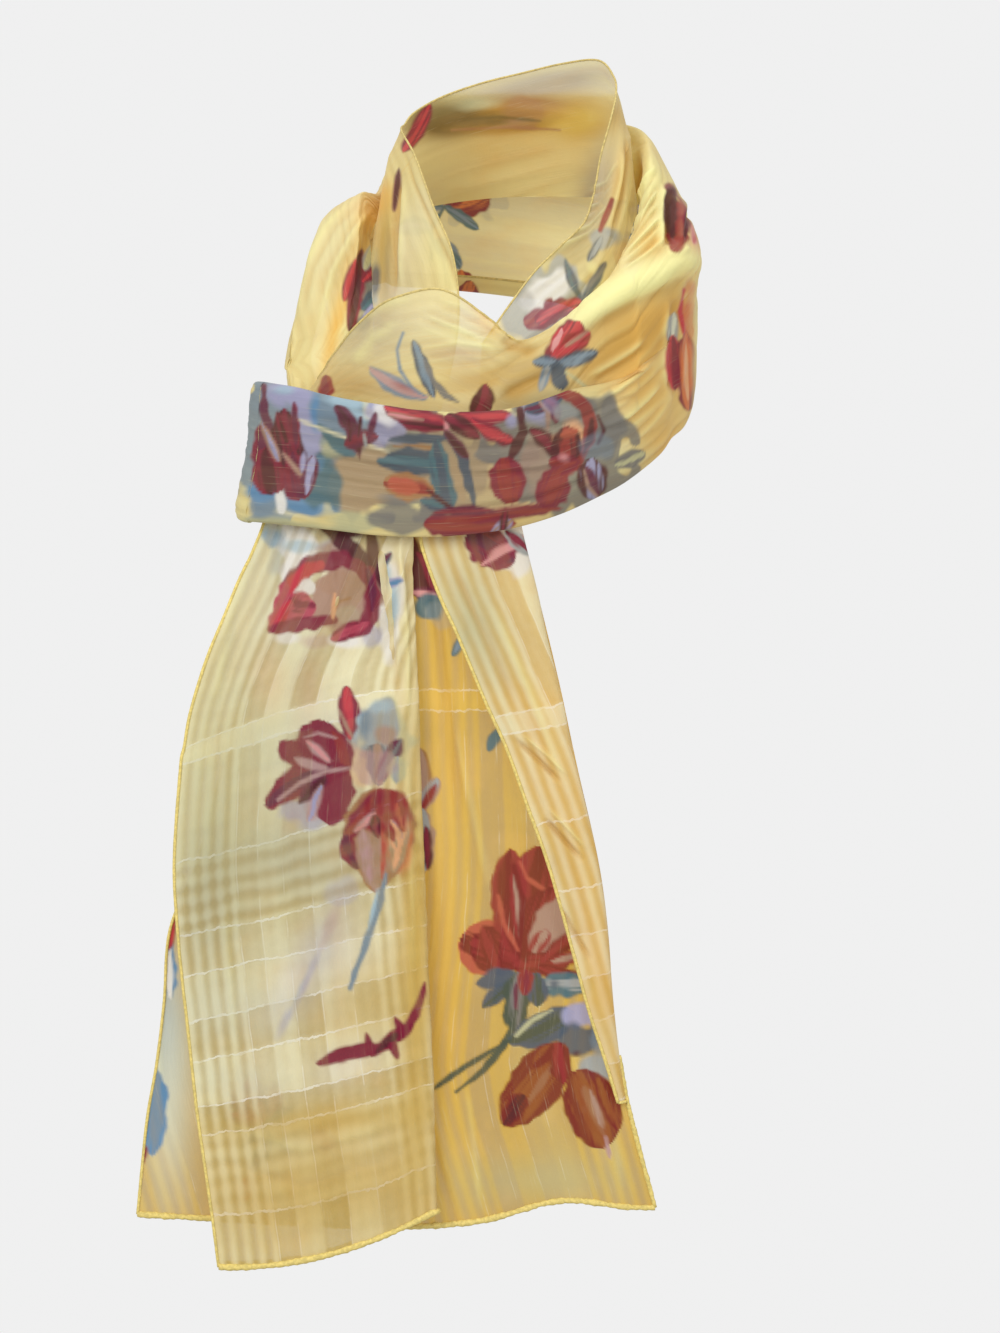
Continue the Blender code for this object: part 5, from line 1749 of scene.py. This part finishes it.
def make_turn_and_front(sizes, colours):
    """The outer side of the whole turn, the flap across the front, and the band.

    A station is counted in rows of the turn's and the front's tables, and a lane in fold lines."""
    grid, stations, lanes = wrap_grid(sizes.face)
    walked = walked_along(grid)[:, None]
    width = walked_across(grid)
    from_hem = width[:, -1:] - width
    station = stations[:, None]
    on_right = eased(station, 13.5, 16) * eased(station, 23.5, 20)
    on_band = eased(station, 20, 22) * eased(lanes[None], 3, 4)
    on_strand = eased(station, 8, 6)
    lift = gathers(walked, from_hem, pitch=6, reach=90, seed=41) * (0.35 + 1.1 * on_right)
    fine = gathers(walked, from_hem, pitch=3, reach=70, seed=43)
    lift += fine * (0.15 + 0.5 * on_band + 0.3 * on_strand)
    lift += crease_lift(seen_at(grid), CREASES["wrap"])
    at_tuck = bump(lanes[None], 3.4, 0.7) * eased(station, 16.3, 17.2) * eased(station, 20.5, 19.5)
    lift *= 1 - 0.9 * at_tuck
    grid, normals = creased(grid, lift)
    place = seen_at(grid)
    layer = blank(grid)
    lay_sprays(layer, np.stack(np.broadcast_arrays(walked, from_hem), -1), (
        (215, 60, 160, 0.8), (300, 40, 20, 0.75), (385, 95, 200, 0.7), (455, 45, -30, 0.75),
    ))
    in_front = 1 - eased(station, 7, 7.8) * eased(station, 15, 14)
    in_front = np.broadcast_to(in_front, width.shape)
    layer *= 1 - in_front[..., None]
    lay_print_and_painted_light(layer, [
        (LOOP_PRINT_AND_LIGHT, in_front * (station < 20)),
        (FLAP_PRINT_AND_LIGHT, in_front * (lanes[None] <= 3) * (station > 15)),
        (BAND_PRINT, in_front * (lanes[None] > 3.05) * (station > 15)),
    ], place, lift, 0.75)
    thin = 0.8 * eased(station, 19, 22) * (lanes[None] < 3) * eased(lanes[None], 2.5, 0.5)
    near_hem = np.where(station > 19, np.minimum(width, from_hem), from_hem)
    cloth = cloth_fields(PLAIN_FROM + walked, np.minimum(near_hem, MIDDLE), thin)
    material = cloth_material(
        "Chiffon, turn", colours.pale, colours.thin, alpha=(0.86, 0.97), weave=0.22,
    )
    last = grid.shape[1] - 1
    tuck = int(np.argmin(np.abs(lanes - 3)))
    rows = border_rows(stations, TURN_BORDERS)
    parts = (
        ("loop_left", rows[0], rows[1], 0, last, -1),
        ("loop_back", rows[1], rows[2], 0, last, -1),
        ("loop_right", rows[2], rows[3], 0, last, -1),
        ("front_flap", rows[3], rows[4], 0, tuck, 0),
        ("front_band", rows[3], rows[4], tuck, last, -1),
    )
    for name, first_row, last_row, first_column, last_column, edge in parts:
        part = cut_out(
            (grid, normals, layer, cloth), (first_row, last_row), (first_column, last_column)
        )
        add_piece(name, part, material, [(part[0][:, edge], 0.7)], sizes.hem, "Rolled hem, neck")
    make_turned_end(sizes, material)


def make_turned_end(sizes, material):
    """The band's left end, and its return behind the strand."""
    grid, stations, _ = turned_end_grid(sizes.face)
    walked = walked_along(grid)[:, None]
    width = walked_across(grid)
    from_hem = width[:, -1:] - width
    grid, normals = creased(grid, gathers(walked, from_hem, pitch=3, reach=70, seed=43) * 0.6)
    layer = blank(grid)
    shown = np.broadcast_to(stations[:, None] < 3.6, width.shape) * 1.0
    lay_print(layer, BAND_PRINT, seen_at(grid), shown)
    cloth = cloth_fields(3 * PLAIN_FROM + walked, np.minimum(from_hem, MIDDLE), 0.0)
    rows = border_rows(stations, BAND_END_BORDERS)
    for name, first, last in zip(("band_turn", "band_return"), rows[1:], rows[2:]):
        part = cut_out((grid, normals, layer, cloth), (first, last), (0, grid.shape[1] - 1))
        add_piece(name, part, material, [(part[0][:, -1], 1)], sizes.hem)


def make_front_end(sizes, colours):
    """The front hanging end, doubled lengthwise."""
    grid, face_columns = front_end_grid(sizes.end_face)
    walked = walked_along(grid)[:, None]
    to_end = walked[-1] - walked
    width = walked_across(grid)
    pressed = eased(to_end, 190, 330)
    lift = gathers(walked, width, pitch=8, reach=130, seed=51) * (0.5 + 1.6 * pressed)
    lift += (noise(walked / 5.0, width / 16.0, 53) - 0.5) * 0.5
    lift += crease_lift(seen_at(grid), CREASES["front end"])
    lift *= eased(walked, 4, 30) * 0.9 + 0.1
    grid, normals = creased(grid, lift)
    place = seen_at(grid)
    layer = blank(grid)
    lay_sprays(layer, np.stack(np.broadcast_arrays(width, walked), -1), (
        (150, 120, 0, 0.6), (185, 270, 30, 0.6),
    ))
    on_face = np.broadcast_to(np.arange(grid.shape[1]) < face_columns + 2, width.shape) * 1.0
    layer *= 1 - on_face[..., None]
    lay_print_and_painted_light(layer, [(FRONT_END_PRINT, on_face)], place, lift, 0.3)
    from_hem = np.minimum(width, width[:, -1:] - width)
    marks = np.array(FRONT_END_ROWS)[:, :1]
    stations = end_stations(FRONT_END_ROWS, sizes.end_face)
    cloth = cloth_fields(along(marks, stations), from_hem, 0.1)
    material = cloth_material(
        "Chiffon, front end", colours.golden, colours.thin, alpha=(0.7, 0.95), weave=0.9, threads=1.0,
    )
    paths = [(grid[:, 0], 0.9), (grid[-1], 1.8), (grid[:, -1], 0.9)]
    add_piece("front_end", (grid, normals, layer, cloth), material, paths, sizes.hem)


def make_back_end(sizes, colours):
    """The other hanging end, behind the first, with one edge turned over to the front."""
    grid = back_end_grid(sizes.end_face)
    walked = walked_along(grid)[:, None]
    to_end = walked[-1] - walked
    from_fold = walked_across(grid)[:, -1:] - walked_across(grid)
    lift = gathers(walked, from_fold, pitch=10, reach=150, seed=61)
    lift += crease_lift(seen_at(grid), CREASES["back end"])
    lift *= eased(from_fold, 0, 12)
    grid, normals = creased(grid, lift)
    layer = blank(grid)
    lay_print_and_painted_light(layer, [(BACK_END_PRINT, 1.0)], seen_at(grid), lift, 0.35)
    width = from_fold + np.interp(to_end, [70, 300], [0, 44])
    marks = along(np.array(BACK_END_ROWS)[:, :1], end_stations(BACK_END_ROWS, sizes.end_face))
    cloth = cloth_fields(marks, np.minimum(width, np.abs(STRIP_WIDTH - width)), 0.0)
    material = cloth_material(
        "Chiffon, back end", colours.deep, colours.amber, alpha=(0.88, 0.98), weave=0.55,
        threads=0.35, tables=BACK_WEAVE,
    )
    low = row_at(-to_end[:, 0], -70)
    paths = [(grid[:, 0], 0.9), (grid[-1], 1.8), (grid[low:, -1], 1.3)]
    add_piece("back_end", (grid, normals, layer, cloth), material, paths, sizes.hem)
    material = cloth_material(
        "Chiffon, turned edge", colours.golden, colours.deep, alpha=(0.85, 0.97), weave=0.7,
        threads=0.7, tables={**FRONT_WEAVE, "checks": BACK_WEAVE["checks"]},
    )
    make_turnover(sizes, material)


def make_turnover(sizes, material):
    grid = turnover_grid(sizes.face)
    walked = walked_along(grid)[:, None]
    width = walked_across(grid)
    lift = gathers(walked, width, pitch=6, reach=90, seed=71) * 0.7
    lift += crease_lift(seen_at(grid), CREASES["turnover"])
    lift *= eased(width[:, -1:] - width, 0, 8)
    grid, normals = creased(grid, lift)
    layer = blank(grid)
    lay_print_and_painted_light(layer, [(TURNOVER_PRINT, 1.0)], seen_at(grid), lift, 0.6)
    to_end = 48 + 0.965 * (walked[-1] - walked) + 0.15 * (width[:, -1:] - width)
    cloth = cloth_fields(to_end, width, 0.1)
    paths = [(grid[:, 0], 1), (grid[-1], 0.8)]
    add_piece("back_end_turnover", (grid, normals, layer, cloth), material, paths, sizes.hem)


# The stage, in metres.
FLOOR = -0.9
CEILING = 3.2
WALL = 3.4
WALL_BEND = 0.9
BEND_STEPS = 13
CENTRE = 0.001
BACKDROP_SIDES = 48
SENSOR_WIDTH = 36  # mm
CLIP_END = 20


def make_backdrop(glow):
    """A pale round room with a bend between its floor and its wall."""
    profile = [(CENTRE, FLOOR)]
    for angle in np.radians(np.linspace(0, 90, BEND_STEPS)):
        reach = WALL - WALL_BEND + WALL_BEND * math.sin(angle)
        profile.append((reach, FLOOR + WALL_BEND - WALL_BEND * math.cos(angle)))
    profile.append((WALL, CEILING))
    profile.append((CENTRE, CEILING))
    count = len(profile)
    points = []
    faces = []
    for i in range(BACKDROP_SIDES):
        turn = 2 * math.pi * i / BACKDROP_SIDES
        points += [(reach * math.cos(turn), reach * math.sin(turn), z) for reach, z in profile]
        here = i * count
        beside = (i + 1) % BACKDROP_SIDES * count
        for j in range(count - 1):
            faces.append((here + j, beside + j, beside + j + 1, here + j + 1))
    mesh = bpy.data.meshes.new("backdrop")
    mesh.from_pydata(points, [], faces)
    mesh.shade_smooth()
    nodes = Shading("Pale paper")
    paper = nodes.add("BsdfPrincipled", {
        "Base Color": (0.0, 0.0, 0.0, 1), "Roughness": 1.0, "Specular IOR Level": 0.0,
        "Emission Color": (1.0, 1.0, 1.0, 1), "Emission Strength": glow,
    }).outputs[0]
    nodes.add("OutputMaterial", {"Surface": paper})
    backdrop = add_object("backdrop", mesh, nodes.material)
    backdrop.visible_diffuse = False
    backdrop.visible_glossy = False
    backdrop.visible_shadow = False
    return backdrop


def make_stage(light):
    """The backdrop, the lights and the camera."""
    scene = bpy.context.scene
    backdrop = make_backdrop(light.paper)
    for name, place, aim, size, watts in (
        ("key light", (-1.1, -1.9, 1.2), (0, 0, -0.2), 1.4, light.key),
        ("fill light", (1.8, -1.6, 0.4), (0, 0, -0.2), 1.8, light.fill),
        ("top light", (0.1, 0.6, 1.9), (0, 0, -0.1), 1.2, light.top),
    ):
        data = bpy.data.lights.new(name, "AREA")
        data.size = size
        data.energy = watts
        lamp = bpy.data.objects.new(name, data)
        lamp.location = place
        lamp.visible_camera = False
        lamp.rotation_euler = aimed(place, aim)
        scene.collection.objects.link(lamp)
    world = bpy.data.worlds.new("Soft room")
    world.use_nodes = True
    room = world.node_tree.nodes["Background"]
    room.inputs["Color"].default_value = (1, 1, 1, 1)
    room.inputs["Strength"].default_value = light.room
    scene.world = world
    scene.view_settings.view_transform = "Standard"
    scene.cycles.transparent_max_bounces = 16
    data = bpy.data.cameras.new("camera")
    data.sensor_width = SENSOR_WIDTH
    data.lens = SENSOR_WIDTH * LENS_REACH / FRAME_HEIGHT
    data.clip_end = CLIP_END
    camera = bpy.data.objects.new("camera", data)
    camera.location = (TARGET + BACKWARD * DISTANCE) * MM
    camera.rotation_euler = aimed(camera.location, TARGET * MM)
    scene.collection.objects.link(camera)
    scene.camera = camera


def aimed(place, aim):
    """The rotation that points a lamp or a camera from `place` at `aim`."""
    direction = mathutils.Vector(aim) - mathutils.Vector(place)
    return direction.to_track_quat("-Z", "Y").to_euler()


# ---- The add-on


class ScarfSizes(PropertyGroup):
    """Sizes of the scarf's details."""

    face: FloatProperty(
        name="Face", description="Width of the cloth's faces round the neck, in mm", default=0.66,
        min=0.5, max=5,
    )
    end_face: FloatProperty(
        name="Face of the ends", description="Width of the cloth's faces on the hanging ends, in mm",
        default=0.86, min=0.5, max=5,
    )
    hem: FloatProperty(
        name="Rolled hem", description="Radius of the rolled hems, in mm", default=0.75, min=0.3, max=3,
    )


def ground_colour(name, description, *shown):
    """A colour that a user may change, with its default from 0 to 255."""
    return FloatVectorProperty(
        name=name, description=description, subtype="COLOR", size=3, default=tuple(linear(*shown)),
    )


class ScarfColours(PropertyGroup):
    """Colours of the undyed ground and of the hems."""

    pale: ground_colour("Pale", "Dense cloth round the neck", 254, 242, 176)
    golden: ground_colour("Golden", "Dense cloth of the front end", 250, 244, 204)
    thin: ground_colour("Thin", "Cloth where it is thinly woven", 208, 188, 124)
    deep: ground_colour("Deep", "Dense cloth of the back end", 226, 186, 80)
    amber: ground_colour("Amber", "Thin cloth of the back end", 172, 134, 46)
    hem: ground_colour("Hem", "The rolled hems of the ends", 238, 214, 124)
    neck_hem: ground_colour("Neck hem", "The rolled hems round the neck", 216, 194, 122)


class ScarfLight(PropertyGroup):
    """How brightly the stage is lit."""

    key: FloatProperty(name="Key", description="Light from the upper left, in watts", default=38.0, min=0)
    fill: FloatProperty(name="Fill", description="Light from the right, in watts", default=15.0, min=0)
    top: FloatProperty(name="Top", description="Light from above, behind, in watts", default=16.0, min=0)
    room: FloatProperty(name="Room", description="Light from all round", default=0.55, min=0)
    paper: FloatProperty(name="Paper", description="Glow of the backdrop", default=0.87, min=0)


class SCARF_OT_hem_thread(Operator):
    """Make the materials of the rolled hems"""

    bl_idname = "scarf.hem_thread"
    bl_label = "Hem thread"

    def execute(self, context):
        hem_material("Rolled hem", tuple(context.scene.scarf_colours.hem))
        hem_material("Rolled hem, neck", tuple(context.scene.scarf_colours.neck_hem))
        return {"FINISHED"}


class SCARF_OT_neck_side(Operator):
    """Make the collar that stands round the neck"""

    bl_idname = "scarf.neck_side"
    bl_label = "Neck side"

    def execute(self, context):
        make_neck_side(context.scene.scarf_sizes, context.scene.scarf_colours)
        return {"FINISHED"}


class SCARF_OT_turn_and_front(Operator):
    """Make the outer turn, the flap and the band"""

    bl_idname = "scarf.turn_and_front"
    bl_label = "Turn and front"

    def execute(self, context):
        make_turn_and_front(context.scene.scarf_sizes, context.scene.scarf_colours)
        return {"FINISHED"}


class SCARF_OT_front_end(Operator):
    """Make the hanging end in front"""

    bl_idname = "scarf.front_end"
    bl_label = "Front end"

    def execute(self, context):
        make_front_end(context.scene.scarf_sizes, context.scene.scarf_colours)
        return {"FINISHED"}


class SCARF_OT_back_end(Operator):
    """Make the hanging end behind, with its turned-over edge"""

    bl_idname = "scarf.back_end"
    bl_label = "Back end"

    def execute(self, context):
        make_back_end(context.scene.scarf_sizes, context.scene.scarf_colours)
        return {"FINISHED"}


class SCARF_OT_stage(Operator):
    """Make the backdrop, the lights and the camera"""

    bl_idname = "scarf.stage"
    bl_label = "Stage"

    def execute(self, context):
        make_stage(context.scene.scarf_light)
        return {"FINISHED"}


class SCARF_PT_panel(Panel):
    """The scarf's pieces, in the order in which they are made"""

    bl_idname = "SCARF_PT_panel"
    bl_label = "Scarf"
    bl_space_type = "VIEW_3D"
    bl_region_type = "UI"
    bl_category = "Scarf"

    def draw(self, context):
        for group in (context.scene.scarf_sizes, context.scene.scarf_colours, context.scene.scarf_light):
            for name in group.__annotations__:
                self.layout.prop(group, name)
        for operator in OPERATORS:
            self.layout.operator(operator.bl_idname)


GROUPS = {"scarf_sizes": ScarfSizes, "scarf_colours": ScarfColours, "scarf_light": ScarfLight}
OPERATORS = (
    SCARF_OT_hem_thread, SCARF_OT_neck_side, SCARF_OT_turn_and_front, SCARF_OT_front_end,
    SCARF_OT_back_end, SCARF_OT_stage,
)


def register():
    for kind in (*GROUPS.values(), *OPERATORS, SCARF_PT_panel):
        bpy.utils.register_class(kind)
    for name, kind in GROUPS.items():
        setattr(bpy.types.Scene, name, PointerProperty(type=kind))


def unregister():
    for name in GROUPS:
        delattr(bpy.types.Scene, name)
    for kind in reversed((*GROUPS.values(), *OPERATORS, SCARF_PT_panel)):
        bpy.utils.unregister_class(kind)


def main():
    register()
    bpy.ops.scarf.hem_thread()
    bpy.ops.scarf.neck_side()
    bpy.ops.scarf.turn_and_front()
    bpy.ops.scarf.front_end()
    bpy.ops.scarf.back_end()
    bpy.ops.scarf.stage()


if __name__ == "__main__":
    main()
